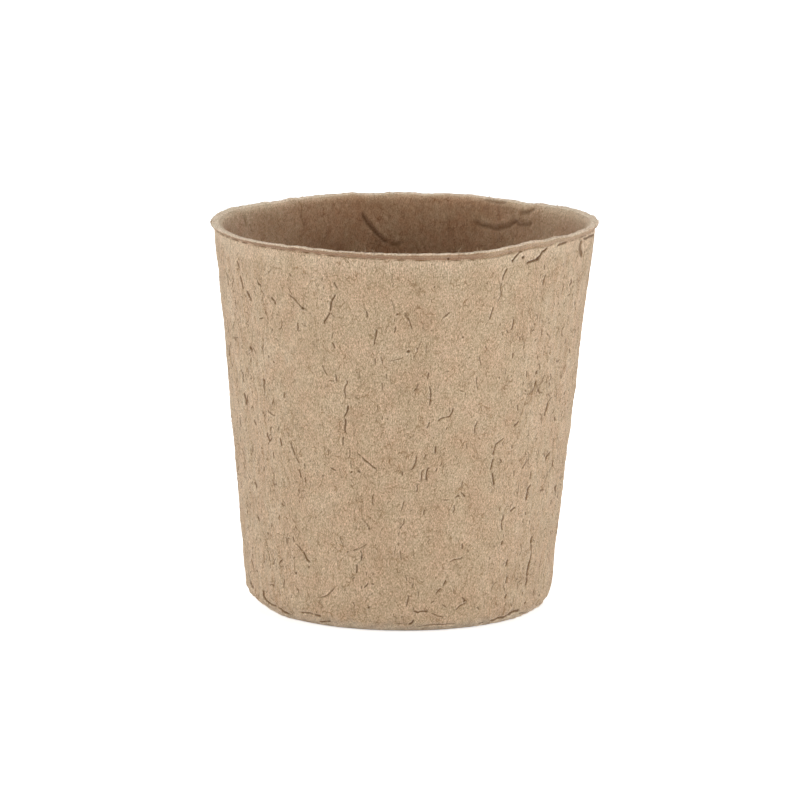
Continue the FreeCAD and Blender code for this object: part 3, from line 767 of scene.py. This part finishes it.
# Cracks and pits in and just below the lip: depth and width in millimetres, then x and y in pixels.
LIP_CRACKS_PX = (
    (0.45, 0.2, 546.6, 247.2, 543.4, 250.4, 541, 252, 539.2, 255.8, 537.3, 258.5),
    (0.6, 0.28, 539.2, 255.8, 537.3, 258.5, 535, 260.4),
    (0.35, 0.18, 535, 260.4, 532.7, 260.6, 530, 261.5, 527.3, 262.6, 525.8, 264.2),
    (0.5, 0.24, 523.5, 256.5, 520.9, 258), (0.5, 0.24, 512.3, 260.2, 511, 261.3),
    (0.25, 0.15, 511.5, 260.8, 514.2, 256.5, 517.2, 252.3, 521, 250.4),
    (0.2, 0.32, 581.3, 256, 580, 251, 579.7, 247.2, 580, 243.4, 581, 239.5),
    (0.25, 0.14, 593.8, 233.8, 588, 236.4, 585.5, 238.3, 581.6, 238.6),
    (0.22, 0.13, 567, 241.8, 563, 243, 556, 245.6), (0.3, 0.2, 447.5, 257.8, 448.5, 260),
)
LIP_CRACK_SHADE = 1.5
# Where the lip's undercut is worn away: middle and half its reach, in degrees from the front.
WORN_LIP = (35.0, 11.0)
# Turns between which the band's painted shade eases and it is nearly as pale as the wall: start,
# rise, end and fall.
EASED_SHADE_TURNS = (math.radians(26), 0.2, math.radians(100), 0.2)
# Lines along the lip, above its foot: place and half width of the undercut and of the painted
# shadow line.
UNDERCUT = (-0.15, 0.17)
LIP_SHADOW_LINE = (0.22, 0.26)
# The undercut's depth, how far it and the wall below it are filled where it is worn, its painted
# shade.
UNDERCUT_DEPTH, WORN_FILL, WORN_WALL_FILL, UNDERCUT_SHADE = 0.16, 0.35, 0.3, 0.75
# Painted tones: shade of the band, shade taken off where it eases, highlight of its top edge,
# shadow of the line, and light on the wall below.
BAND_SHADE_TONE, EASED_SHADE_TONE, TOP_HIGHLIGHT_TONE, SHADOW_LINE_TONE, NEAR_LIP_LIGHT_TONE = -0.74, 0.45, 1.1, -0.3, 0.28
# Height of the painted highlight along the top edge.
TOP_HIGHLIGHT_HEIGHT = 0.3


def lip_skin(outer):
    """The lip: a pressed band in painted shade over a crisp foot whose undercut is worn away in
    places, a painted highlight on its top edge, and some cracks.
    """
    above_foot = outer.heights() - LIP_FOOT
    below_top = POT_HEIGHT - outer.heights()
    turn = outer.turn[None, :]
    middle, half = np.radians(WORN_LIP)
    worn = smooth_step(1.5 - np.abs(turn - middle) / half + 0.5 * outer.noise(4, 3, 83))
    shade_eased = np.maximum(worn, band(turn, *EASED_SHADE_TURNS))
    under = hump(above_foot - UNDERCUT[0], UNDERCUT[1])
    on_lip = smooth_step((above_foot + 0.3) / 0.4)
    below = smooth_step((above_foot + 2.6) / 2.2) * (1 - on_lip)
    outer.lift += on_lip * outer.layered(LIP_LUMPS)
    outer.lift += under * (WORN_FILL * worn - UNDERCUT_DEPTH * (1 - worn))
    outer.lift += WORN_WALL_FILL * below * worn
    # Painted shade in the undercut, none where it is worn.
    shade = UNDERCUT_SHADE * under * (1 - worn) * (0.8 + outer.noise(2, 2, 84))
    outer.dark[:] = np.maximum(outer.dark, shade)
    pressed = smooth_step((above_foot + 0.05) / 0.15)
    # Painted shade on the band, less where it eases, and a painted highlight along its top edge.
    top = smooth_step((TOP_HIGHLIGHT_HEIGHT - below_top + 0.08 * outer.noise(1.6, 1, 86)) / 0.1)
    outer.pale += pressed * (1 - top) * (EASED_SHADE_TONE * shade_eased + BAND_SHADE_TONE)
    outer.pale += pressed * top * (TOP_HIGHLIGHT_TONE + 0.4 * outer.noise(1.2, 1, 85))
    # Painted light on the wall just below the lip.
    outer.pale += NEAR_LIP_LIGHT_TONE * smooth_step((above_foot + 4) / 3.5) * (1 - pressed)
    # A painted shadow line along the band's foot.
    shadow_line = hump(above_foot - LIP_SHADOW_LINE[0], LIP_SHADOW_LINE[1])
    outer.pale += SHADOW_LINE_TONE * shadow_line * (1 - worn)
    rng = np.random.default_rng(87)
    for depth, width, *numbers in LIP_CRACKS_PX:
        line, wider = line_on_skin(outer, numbers, rng, 0.04)
        outer.press_line(line, depth, width * math.sqrt(wider), LIP_CRACK_SHADE)


# Folds of the far inner wall as the photograph shows them: depth and width in millimetres, then
# x and y in pixels.
INNER_FOLDS_PX = (
    (0.5, 0.36, 360, 213.5, 365.4, 222.9, 376.2, 234.9, 382, 240.5, 388.2, 244.3),
    (0.25, 0.5, 388.2, 244.3, 400, 246),
    (0.42, 0.42, 470, 222.5, 480, 226, 493, 229, 505, 227.5, 512, 223, 515.5, 218),
    (0.34, 0.42, 512, 221.5, 520, 224.5, 532, 224.5),
    (0.2, 0.45, 481, 200.5, 493, 203, 505, 203.5), (0.15, 0.5, 518, 212, 526, 213, 534, 209),
    (0.12, 0.4, 243, 218, 246.5, 228),
)
INNER_FOLD_SHADE = 0.6
# Painted tones of the inside: its shade, light added to it at the sides, light added near the
# mouth, more there at the sides, and a highlight at the very edge.
INSIDE_SHADE_TONE, INSIDE_SIDE_LIGHT_TONE, MOUTH_LIGHT_TONE, MOUTH_SIDE_LIGHT_TONE, EDGE_HIGHLIGHT_TONE = -0.77, 0.2, 0.4, 0.3, 1.2
# How far the painted light near the mouth reaches down: everywhere, and more at the sides.
MOUTH_LIGHT_REACH, MOUTH_SIDE_LIGHT_REACH = 1.4, 3.0


def inner_skin(inner):
    """The inside, pressed by the mould's core: soft lumps, a few folds, painted shade deeper in and
    painted light near the mouth.
    """
    below_top = POT_HEIGHT - inner.heights()
    inside = smooth_step((below_top - 0.4) / 2)
    bend = inner.bend(*INNER_BEND)
    inner.lift += inside * (inner.layered(INNER_LUMPS) + inner.layered(INNER_WRINKLES, bend))
    inner.lift += inner.layered(INNER_GRAIN)
    rng = np.random.default_rng(97)
    for depth, width, *numbers in INNER_FOLDS_PX:
        ends = [pixel_on_cone(pixel, inner_radius(0), TAPER, far=True) for pixel in pairs(numbers)]
        inner.press_line(wander(ends, rng, 0.1), depth, width, INNER_FOLD_SHADE, 0.6)
    side = side_share(inner)
    reach = MOUTH_LIGHT_REACH + MOUTH_SIDE_LIGHT_REACH * side
    mouth = smooth_step((reach - below_top) / (reach - 0.2))
    edge = smooth_step((0.4 - below_top) / 0.3)
    # Painted shade inside, painted light at the sides and near the mouth, and a painted highlight
    # at the edge.
    inner.pale += INSIDE_SHADE_TONE + INSIDE_SIDE_LIGHT_TONE * side + EDGE_HIGHLIGHT_TONE * edge
    inner.pale += (MOUTH_LIGHT_TONE + MOUTH_SIDE_LIGHT_TONE * side) * mouth
    inner.pale += inside * inner.layered(INNER_MOTTLE)


# How much painted shade the pot's floor gets, as the inside does.
FLOOR_SHADE_TONE = 0.75


def flat_skin(skin, seed):
    """Faint lumps on the floor and the underside; the standing ring stays flat."""
    free = smooth_step((skin.heights() - 0.02) / 0.5)
    skin.lift += free * skin.layered(((0.06, 9, 4, seed), (0.03, 4, 1.5, seed + 1)))


# The rim's upper outline in the photograph: the front's pale edge, then the far edge.
FRONT_RIM_PX = (
    240, 237.5, 280, 244.8, 287, 246.2, 293, 245.8, 320, 249.3, 360, 252.3, 400, 253.9, 440, 253.6,
    470, 252.5, 481.5, 251.4, 497.6, 249.1, 505.6, 246.8, 515.4, 245.1, 529.7, 241.3, 542.3, 240.2,
    549.2, 239, 555, 236.5, 568.6, 235.3, 582.9, 229.9,
)
FAR_RIM_PX = (
    232, 207.1, 244, 205.2, 256, 203.3, 268, 201.6, 280, 200.3, 286, 198.5, 298, 197.2, 316, 195.4,
    334, 193.5, 350, 192.0, 367, 193.2, 390, 192.3, 406, 192.1, 421, 193.3, 450, 193.3, 470, 194.5,
    496, 198.1, 514, 200.2, 526, 203.2, 540, 203.6, 556, 205.3, 568, 207.6, 580, 210.8,
)
RIM_EDGE_INSET = 0.5
# How far the lip's foot stands above its plain height: turns from the front in degrees, and rises.
LIP_FOOT_RISES = (
    (-170, 0.1), (-60, 0.6), (-31, 0.5), (-13, 0.3), (0, 0.28), (12, 0.02), (26, 0.0),
    (57, 0.2), (120, 0.1),
)
# Share of its height from which the pot bends towards its uneven rim, and how far it leans.
BEND_START = 0.72
LEAN = 0.006
# Ragged steps of the rim's top edge: how many round the pot, depth and seed, and the edge's height.
RIM_STEPS = ((90, 0.08, 121), (210, 0.07, 122), (480, 0.07, 123), (800, 0.05, 124))
RIM_EDGE_HEIGHT = 0.7


@functools.cache
def rim_places():
    """Turns and rises of the rim where the photograph shows its edge."""
    edge = RIM_RADIUS - RIM_EDGE_INSET
    near = [pixel_on_cone(pixel, edge, 0.0) for pixel in pairs(FRONT_RIM_PX)]
    far = [pixel_on_cone(pixel, edge, 0.0, far=True) for pixel in pairs(FAR_RIM_PX)]
    turns, heights = np.array(sorted(near + far)).T
    return turns, heights - POT_HEIGHT


def pot_bend(turn, height):
    """How far the pot's unevenness moves a point: sideways by its lean, and up near the rim."""
    near_rim = smooth_step((height - BEND_START * POT_HEIGHT) / ((1 - BEND_START) * POT_HEIGHT))
    rise = near_rim * np.interp(turn, *rim_places(), period=FULL_TURN)
    angles, foot_rises = np.array(LIP_FOOT_RISES).T
    foot_rise = np.interp(turn, np.radians(angles), foot_rises, period=FULL_TURN)
    rise = rise + band(height, *LIP_FOOT_BAND) * foot_rise
    return LEAN * (height - POT_HEIGHT / 2), rise


def rim_wear(turn):
    """Small ragged steps of the rim's top edge."""
    share = (turn + math.pi) / FULL_TURN
    middle_row = np.full_like(turn, 0.5)
    return sum(
        depth * lattice_noise(share * cells % cells, middle_row, cells, seed)
        for cells, depth, seed in RIM_STEPS
    )


def place_points(skin):
    """The skin's points in millimetres, bent as the whole pot is bent."""
    turn = skin.turn[None, :]
    radius = skin.radius[:, None] + skin.out_radius[:, None] * skin.lift
    height = skin.height[:, None] + skin.out_height[:, None] * skin.lift
    at_edge = smooth_step((height - POT_HEIGHT + RIM_EDGE_HEIGHT) / RIM_EDGE_HEIGHT)
    lean, rise = pot_bend(turn, height)
    height = np.maximum(height + rise + at_edge * rim_wear(turn), 0.0)
    return np.stack([radius * np.sin(turn) + lean, -radius * np.cos(turn), height], axis=-1)


def strip(low, columns, high, next_columns, row):
    """Faces between two rows, whose column counts may differ, and each corner's row and column."""
    few = min(columns, next_columns)
    low_ratio, high_ratio = columns // few, next_columns // few
    first = np.arange(few)[:, None]
    low_steps = first * low_ratio + np.arange(low_ratio + 1)
    high_steps = first * high_ratio + np.arange(high_ratio, -1, -1)
    faces = np.concatenate([low + low_steps % columns, high + high_steps % next_columns], axis=1)
    place = np.concatenate([low_steps, high_steps * (columns / next_columns)], axis=1)
    rows = np.repeat([row, row + 1], [low_ratio + 1, high_ratio + 1])
    return faces, (np.broadcast_to(rows, faces.shape), place)


# The bake map: millimetres to map units, and where each skin's stretch lies.
MAP_SCALE = 0.00375
MAP_MARGIN = 0.02
MAP_BANDS = {"outer": 0.01, "inner": 0.35, "drain": 0.95}
MAP_DISCS = {"floor": (0.15, 0.80), "underside": (0.45, 0.80)}


def unwrap(skin, places):
    """Places on the bake map: the walls are bands, the floor and the underside are discs."""
    rows, columns = places
    turn = columns / skin.columns * FULL_TURN
    if skin.name in MAP_BANDS:
        radius = DRAIN_RADIUS if skin.name == "drain" else RIM_RADIUS
        across = MAP_MARGIN + turn * radius * MAP_SCALE
        up = MAP_BANDS[skin.name] + skin.travel[rows] * MAP_SCALE
    else:
        middle = MAP_DISCS[skin.name]
        across = middle[0] + skin.radius[rows] * np.sin(turn) * MAP_SCALE
        up = middle[1] - skin.radius[rows] * np.cos(turn) * MAP_SCALE
    return np.stack([across, up], axis=-1).reshape(-1, 2)


def fill(collection, name, values, kind=np.float32):
    collection.foreach_set(name, values.astype(kind).ravel())


def join_skins(skins, name):
    """One closed mesh of all the skins: strips join each to the next, and the last to the first."""
    counts = [(len(skin.radius) - 1) * skin.columns for skin in skins]
    starts = np.concatenate([[0], np.cumsum(counts)])
    strips, layout = [], []
    for index, skin in enumerate(skins):
        after = (index + 1) % len(skins)
        rows = len(skin.radius) - 1
        for row in range(rows):
            low = starts[index] + row * skin.columns
            high, next_columns = low + skin.columns, skin.columns
            if row + 1 == rows:
                high, next_columns = starts[after], skins[after].columns
            faces, places = strip(low, skin.columns, high, next_columns, row)
            strips.append(faces)
            layout.append(unwrap(skin, places))
    corners = np.concatenate([faces.ravel() for faces in strips])
    sizes = np.concatenate([np.full(len(faces), faces.shape[1]) for faces in strips])
    mesh = bpy.data.meshes.new(name)
    mesh.vertices.add(sum(counts))
    points = [place_points(skin)[:-1].reshape(-1, 3) for skin in skins]
    fill(mesh.vertices, "co", np.concatenate(points) * MM)
    mesh.loops.add(len(corners))
    fill(mesh.loops, "vertex_index", corners, np.int32)
    mesh.polygons.add(len(sizes))
    fill(mesh.polygons, "loop_start", np.cumsum(sizes) - sizes, np.int32)
    mesh.update(calc_edges=True)
    mesh.shade_smooth()
    fill(mesh.uv_layers.new(name="OFBake").data, "uv", np.concatenate(layout))
    # The crease attribute carries the painted shade; pale carries tone with painted light and
    # painted shade.
    for tone, source in (("crease", "dark"), ("pale", "pale")):
        values = np.concatenate([getattr(skin, source)[:-1].ravel() for skin in skins])
        fill(mesh.attributes.new(tone, "FLOAT", "POINT").data, "value", values)
    return mesh


def show(name, data):
    """A new object of the scene, which shows this data."""
    item = bpy.data.objects.new(name, data)
    bpy.context.scene.collection.objects.link(item)
    return item


def make_pot():
    """The whole pressed skin as one closed mesh."""
    outer = Skin("outer", outer_outline(), OUTER_COLUMNS)
    inner = Skin("inner", inner_outline(), INNER_COLUMNS)
    floor = Skin("floor", floor_outline(), FLOOR_COLUMNS)
    drain = Skin("drain", drain_outline(), FLOOR_COLUMNS)
    underside = Skin("underside", underside_outline(), FLOOR_COLUMNS)
    for dress in (
        wall_skin, foot_skin, shrink_lines, scattered_creases, photo_creases, foot_seam, lip_skin
    ):
        dress(outer)
    inner_skin(inner)
    floor.pale -= FLOOR_SHADE_TONE
    flat_skin(floor, 101)
    flat_skin(underside, 111)
    mesh = join_skins([outer, inner, floor, drain, underside], "pressed_pot")
    return show("pressed_pot", mesh), place_points(outer)


# Loose fibres: how many, half their thickness, and a strand's stride in mesh steps.
RIM_HAIRS = 260
RIM_HAIR_SIZES = (0.028, 0.05)
WALL_STRANDS = 420
WALL_STRAND_SIZES = (0.02, 0.04)
WALL_STRAND_STRIDES = (1.2, 3.2)
STRAND_LEAST_STEP = 0.05
FIBRE_END_SHARE = 0.45
# Rows of the outer skin, counted from the lip's middle, from which rim hairs grow.
RIM_HAIR_ROWS = (2, 7)


def tube(points, thickness):
    """Corners and faces of one fibre: a thin closed tube of four sides along a few points."""
    corners = []
    for i, point in enumerate(points):
        ahead = points[min(i + 1, len(points) - 1)] - points[max(i - 1, 0)]
        side = np.cross(ahead, [0.37, 0.61, 0.7])
        side /= np.linalg.norm(side)
        over = np.cross(ahead, side)
        over /= np.linalg.norm(over)
        size = thickness * (1.0 if 0 < i < len(points) - 1 else FIBRE_END_SHARE)
        corners += [point + size * arm for arm in (side, over, -side, -over)]
    faces = [(3, 2, 1, 0)]
    last = 4 * (len(points) - 1)
    for ring in range(0, last, 4):
        for k in range(4):
            turned = (k + 1) % 4
            faces.append((ring + k, ring + turned, ring + 4 + turned, ring + 4 + k))
    faces.append((last, last + 1, last + 2, last + 3))
    return corners, faces


def outward(point):
    """Level direction from the pot's axis to a point."""
    return np.array([point[0], point[1], 0.0]) / math.hypot(point[0], point[1])


def rim_hair(cloud, rng):
    """Points of a short curled hair on the rim's edge."""
    rows, columns = cloud.shape[:2]
    root = cloud[rows - 1 - rng.integers(*RIM_HAIR_ROWS), rng.integers(columns)]
    heading = rng.normal(0, 0.7, 3) + outward(root) * rng.uniform(-0.4, 0.5) + [0, 0, 0.9]
    heading /= np.linalg.norm(heading)
    curl = rng.normal(0, 0.5, 3)
    length = rng.gamma(3.0, 0.17)
    steps = np.linspace(-0.15, 1, 5)[:, None]
    return root + length * (steps * heading + steps**2 * curl)


def wall_strand(cloud, rng):
    """Points of a strand that lies on the wall."""
    rows, columns = cloud.shape[:2]
    row, column = rng.integers(20, rows - 20), rng.integers(columns)
    heading = rng.uniform(0, FULL_TURN)
    points = []
    for _ in range(6):
        point = cloud[int(np.clip(row, 0, rows - 1)), int(column) % columns]
        points.append(point + outward(point) * rng.uniform(0.0, 0.05))
        heading += rng.normal(0, 0.35)
        stride = rng.uniform(*WALL_STRAND_STRIDES)
        row, column = row + stride * math.sin(heading), column + stride * math.cos(heading)
    return points


def make_fibres(cloud):
    """Loose fibres: short hairs on the rim's edge, and strands lying on the wall."""
    rng = np.random.default_rng(131)
    corners, faces = [], []

    def add(points, sizes):
        more, sides = tube(points, rng.uniform(*sizes))
        faces.extend(tuple(len(corners) + i for i in side) for side in sides)
        corners.extend(more)

    for _ in range(RIM_HAIRS):
        add(rim_hair(cloud, rng), RIM_HAIR_SIZES)
    for _ in range(WALL_STRANDS):
        points = wall_strand(cloud, rng)
        if min(math.dist(a, b) for a, b in zip(points, points[1:])) > STRAND_LEAST_STEP:
            add(points, WALL_STRAND_SIZES)
    mesh = bpy.data.meshes.new("loose_fibres")
    mesh.from_pydata([tuple(corner * MM) for corner in corners], [], faces)
    mesh.shade_smooth()
    return show("loose_fibres", mesh)


# Colours of the dry pulp on the ramp of tone and painted light: darkest, as painted shade reaches
# it, plain, and palest, as painted light reaches it; and the painted shade inside a crease.
KRAFT_DARK = (0.38, 0.211, 0.112)
KRAFT = (0.566, 0.408, 0.262)
KRAFT_PALE = (0.76, 0.61, 0.45)
CREASE_SHADE_COLOUR = (0.20, 0.098, 0.031, 1)
CREASE_SHADE_MOST = 0.86
# What the tone is multiplied by, as ramps of a noise or of the mat: place on the ramp, and colour.
HUE_STOPS = ((0.35, (1.015, 0.99, 0.985)), (0.65, (0.985, 1.005, 1.0)))
MAT_STOPS = ((0.35, (0.76, 0.695, 0.60)), (1.0, (1.40, 1.45, 1.52)))
DUST_STOPS = ((0.3, (0.73, 0.69, 0.61)), (0.7, (1.26, 1.30, 1.36)))
CLOT_STOPS = ((0.3, (0.96, 0.95, 0.94)), (0.7, (1.04, 1.04, 1.05)))
SPECK_STOPS = ((0.70, (0, 0, 0)), (0.76, (0.7, 0.7, 0.7)))
# Painted shade on a hairline crack.
HAIRLINE_SHADE_TINT = (0.62, 0.51, 0.40, 1)
# Directions in which the mat's fibres lie, as turns about X and Y in degrees.
FIBRE_LIES = ((0, 0), (12, 20), (-12, -20), (32, -14), (-40, 48))
FIBRE_SCALE = 6000
FIBRE_STRETCH = 4.0
# How fast a fibre falls off beside its middle, and how softly fibres join.
FIBRE_SLOPE = 11.0
FIBRE_JOIN = 0.15
# Nets of hairline cracks: cells per metre, stretch upwards, and half a crack's width in mm.
HAIRLINES = ((270, 2.3, 0.10), (560, 1.9, 0.08))
HAIRLINE_DEPTH = -0.7
BUMP_HEIGHT = 0.09
PULP_SURFACE = {
    "Roughness": 0.95, "Specular IOR Level": 0.12, "Sheen Weight": 0.3, "Sheen Roughness": 0.5
}


class Shading:
    """Short ways to add and join nodes of one material."""

    def __init__(self, name):
        self.material = bpy.data.materials.new(name)
        self.material.use_nodes = True
        self.tree = self.material.node_tree
        self.shader = self.tree.nodes["Principled BSDF"]
        self.place = self.add("TexCoord").outputs["Object"]

    def join(self, node, sockets):
        """Links each named socket to its source, or sets it where the source is a plain value."""
        for name, source in sockets.items():
            if hasattr(source, "node"):
                self.tree.links.new(source, node.inputs[name])
            else:
                node.inputs[name].default_value = source

    def add(self, kind, sockets=None, **settings):
        node = self.tree.nodes.new("ShaderNode" + kind)
        for name, value in settings.items():
            setattr(node, name, value)
        self.join(node, sockets or {})
        return node

    def mapped(self, place, lies, stretch):
        turns = (math.radians(lies[0]), math.radians(lies[1]), 0)
        sockets = {"Vector": place, "Rotation": turns, "Scale": (1, 1, stretch)}
        return self.add("Mapping", sockets, vector_type="TEXTURE").outputs["Vector"]

    def noise(self, scale, detail, lies=(0, 0), stretch=1.0, output="Fac"):
        place = self.mapped(self.place, lies, stretch)
        texture = self.add("TexNoise", {"Scale": scale, "Detail": detail, "Vector": place})
        return texture.outputs[output]

    def from_cell_edge(self, scale, stretch):
        """Distance in millimetres from the edges between wavy cells."""
        wave = self.noise(1.1 * scale, 3, output="Color")
        sockets = {0: wave, 1: (1.1 / scale,) * 3, 2: self.place}
        wavy = self.add("VectorMath", sockets, operation="MULTIPLY_ADD").outputs["Vector"]
        sockets = {"Scale": scale, "Vector": self.mapped(wavy, (7, 5), stretch)}
        cells = self.add("TexVoronoi", sockets, feature="DISTANCE_TO_EDGE")
        return self.math("MULTIPLY", cells.outputs["Distance"], 1 / (scale * MM))

    def ramp(self, source, stops):
        node = self.add("ValToRGB", {"Fac": source})
        elements = node.color_ramp.elements
        for i, (position, colour) in enumerate(stops):
            element = elements[i] if i < 2 else elements.new(position)
            element.position = position
            element.color = (*colour, 1)
        return node.outputs["Color"]

    def mix(self, kind, factor, first, second):
        sockets = {"Factor": factor, 6: first, 7: second}
        return self.add("Mix", sockets, data_type="RGBA", blend_type=kind).outputs[2]

    def math(self, operation, *values):
        return self.add("Math", dict(enumerate(values)), operation=operation).outputs[0]

    def clamped(self, value):
        return self.add("Clamp", {"Value": value}).outputs["Result"]

    def painted(self, name):
        return self.add("Attribute", attribute_name=name).outputs["Fac"]


def fibre_mat(shading):
    """Height of a mat of short fibres lying in several directions: 1 on a fibre, less between."""
    height = None
    for lies in FIBRE_LIES:
        wave = shading.noise(FIBRE_SCALE, 1.0, lies, FIBRE_STRETCH)
        off_middle = shading.math("ABSOLUTE", shading.math("SUBTRACT", wave, 0.5))
        ridge = shading.math("SUBTRACT", 1.0, shading.math("MULTIPLY", off_middle, FIBRE_SLOPE))
        if height is not None:
            ridge = shading.math("SMOOTH_MAX", height, ridge, FIBRE_JOIN)
        height = ridge
    return height


def hairline_net(shading):
    """A broken net of hairline cracks: 1 on a crack, 0 away from it."""
    net = 0.0
    for scale, stretch, half_width in HAIRLINES:
        away = shading.from_cell_edge(scale, stretch)
        line = shading.math("SUBTRACT", 1.0, shading.math("MULTIPLY", away, 1 / half_width))
        patches = shading.noise(1.3 * scale, 1, (-12, 17), 1.5)
        shown = shading.math("MULTIPLY_ADD", patches, 6.0, -2.9)
        line = shading.math("MULTIPLY", shading.clamped(line), shading.clamped(shown))
        net = shading.math("MAXIMUM", line, net)
    return net


def pulp_colour(shading, mat, net):
    """The dry pulp's colour, with painted light and shade on its tone: patchy, mottled by mat, dust
    and clots, and with painted shade on a hairline.
    """
    patches = shading.math("MULTIPLY", shading.math("SUBTRACT", shading.noise(160, 2), 0.5), 0.35)
    pale = shading.painted("pale")
    # The tone carries the pulp's own tone together with painted light and painted shade.
    tone = shading.math("ADD", shading.math("MULTIPLY_ADD", pale, 0.5, 0.5), patches)
    colour = shading.ramp(tone, ((0.0, KRAFT_DARK), (0.5, KRAFT), (1.0, KRAFT_PALE)))
    fine = shading.math("MULTIPLY_ADD", pale, 0.3, 1.0)
    layers = (
        (1.0, shading.ramp(shading.noise(230, 1), HUE_STOPS)),
        (fine, shading.ramp(mat, MAT_STOPS)),
        (fine, shading.ramp(shading.noise(5000, 1, stretch=2.2), DUST_STOPS)),
        (1.0, shading.ramp(shading.noise(1500, 2, stretch=2.4), CLOT_STOPS)),
        (net, HAIRLINE_SHADE_TINT),
    )
    for share, layer in layers:
        colour = shading.mix("MULTIPLY", share, colour, layer)
    return colour


def crease_shade_and_specks(shading):
    """Where the pulp is dark: painted shade in the creases, broken up as if torn, and its own fine
    specks.
    """
    specks = shading.ramp(shading.noise(2300, 1), SPECK_STOPS)
    torn = shading.math("MULTIPLY_ADD", shading.noise(1500, 3), 1.6, 0.5)
    crease = shading.math("MULTIPLY_ADD", shading.painted("crease"), torn, -0.13)
    return shading.math("MAXIMUM", shading.math("MINIMUM", crease, CREASE_SHADE_MOST), specks)


def fibre_material():
    """Dry moulded pulp: matt kraft brown, patchy, with a fibre mat, specks and creases in painted
    shade.
    """
    shading = Shading("moulded_fibre")
    mat = fibre_mat(shading)
    net = hairline_net(shading)
    colour = pulp_colour(shading, mat, net)
    colour = shading.mix("MIX", crease_shade_and_specks(shading), colour, CREASE_SHADE_COLOUR)
    height = shading.math("MULTIPLY_ADD", net, HAIRLINE_DEPTH, mat)
    bump = shading.add("Bump", {"Strength": 0.8, "Distance": BUMP_HEIGHT * MM, "Height": height})
    shading.join(shading.shader, PULP_SURFACE)
    shading.join(shading.shader, {"Base Color": colour, "Normal": bump.outputs["Normal"]})
    return shading.material


WHITE = (1, 1, 1, 1)
FLOOR_SURFACE = {
    "Base Color": (0.92, 0.92, 0.92, 1), "Roughness": 1.0, "Specular IOR Level": 0.0,
    "Emission Color": WHITE,
}
FLOOR_HALF_WIDTH = 3.0
# What the floor adds to the camera's own rays: from and to which distance, in metres, and how much.
FLOOR_GLOW = {"From Min": 0.04, "From Max": 0.3, "To Min": 0.68, "To Max": 0.9}
WORLD_LEVEL = 0.2
# Lamps: name, turn from the front and height above level in degrees, distance, size, watts.
LAMPS = (
    ("above", 180, 76, 0.9, (0.9, 0.9), 4.9),
    ("left", -67, 9, 0.9, (1.2, 0.36), 5.37),
    ("right", 67, 9, 0.9, (1.2, 0.36), 5.57),
)


def floor_material():
    """Pale floor that the camera sees as white, apart from the object's shadow."""
    shading = Shading("pale_floor")
    away = shading.add("VectorMath", {0: shading.place}, operation="LENGTH").outputs["Value"]
    sockets = {"Value": away, **FLOOR_GLOW}
    spread = shading.add("MapRange", sockets, interpolation_type="SMOOTHSTEP").outputs["Result"]
    seen = shading.add("LightPath").outputs["Is Camera Ray"]
    shading.join(shading.shader, FLOOR_SURFACE)
    shading.join(shading.shader, {"Emission Strength": shading.math("MULTIPLY", seen, spread)})
    return shading.material


def make_floor():
    half = FLOOR_HALF_WIDTH
    corners = [(-half, -half, 0), (half, -half, 0), (half, half, 0), (-half, half, 0)]
    mesh = bpy.data.meshes.new("floor")
    mesh.from_pydata(corners, [], [(0, 1, 2, 3)])
    mesh.materials.append(floor_material())
    floor = show("floor", mesh)


def make_world():
    """Even surroundings: plain white to the camera, dimmer as light."""
    world = bpy.data.worlds.new("surroundings")
    bpy.context.scene.world = world
    world.use_nodes = True
    nodes, links = world.node_tree.nodes, world.node_tree.links
    level = nodes.new("ShaderNodeMapRange")
    level.inputs["To Min"].default_value = WORLD_LEVEL
    level.inputs["To Max"].default_value = 1.0
    links.new(nodes.new("ShaderNodeLightPath").outputs["Is Camera Ray"], level.inputs["Value"])
    background = nodes["Background"]
    background.inputs["Color"].default_value = WHITE
    links.new(level.outputs["Result"], background.inputs["Strength"])


def make_lamps():
    """A wide low lamp on each side for the walls, and one above that leaves the mouth in shade."""
    centre = Vector((0, 0, POT_HEIGHT * MM))
    for name, turn, rise, distance, size, watts in LAMPS:
        lamp = bpy.data.lights.new(name, "AREA")
        lamp.shape = "RECTANGLE"
        lamp.size, lamp.size_y = size
        lamp.energy = watts
        turn, rise = math.radians(turn), math.radians(rise)
        level = math.cos(rise)
        toward = Vector((level * math.sin(turn), -level * math.cos(turn), math.sin(rise)))
        holder = show(name, lamp)
        holder.location = centre + distance * toward
        holder.rotation_mode = "QUATERNION"
        holder.rotation_quaternion = toward.to_track_quat("Z", "Y")


def make_camera():
    camera = bpy.data.cameras.new("camera")
    camera.sensor_width = SENSOR_MM
    camera.lens = FOCAL_PX * SENSOR_MM / PHOTO_SIZE_PX
    camera.clip_start = 0.05
    camera.clip_end = 20.0
    holder = show("camera", camera)
    turn = Matrix(camera_axes()).transposed()
    place = Vector(camera_place() * MM)
    holder.matrix_world = Matrix.Translation(place) @ turn.to_4x4()
    bpy.context.scene.camera = holder


def main():
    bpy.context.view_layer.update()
    bpy.context.scene.view_settings.view_transform = "Standard"
    pot, cloud = make_pot()
    fibres = make_fibres(cloud)
    pulp = fibre_material()
    for piece in (pot, fibres):
        piece.data.materials.append(pulp)
        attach(piece, "root")
    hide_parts(NODE)
    make_floor()
    make_world()
    make_lamps()
    make_camera()


main()
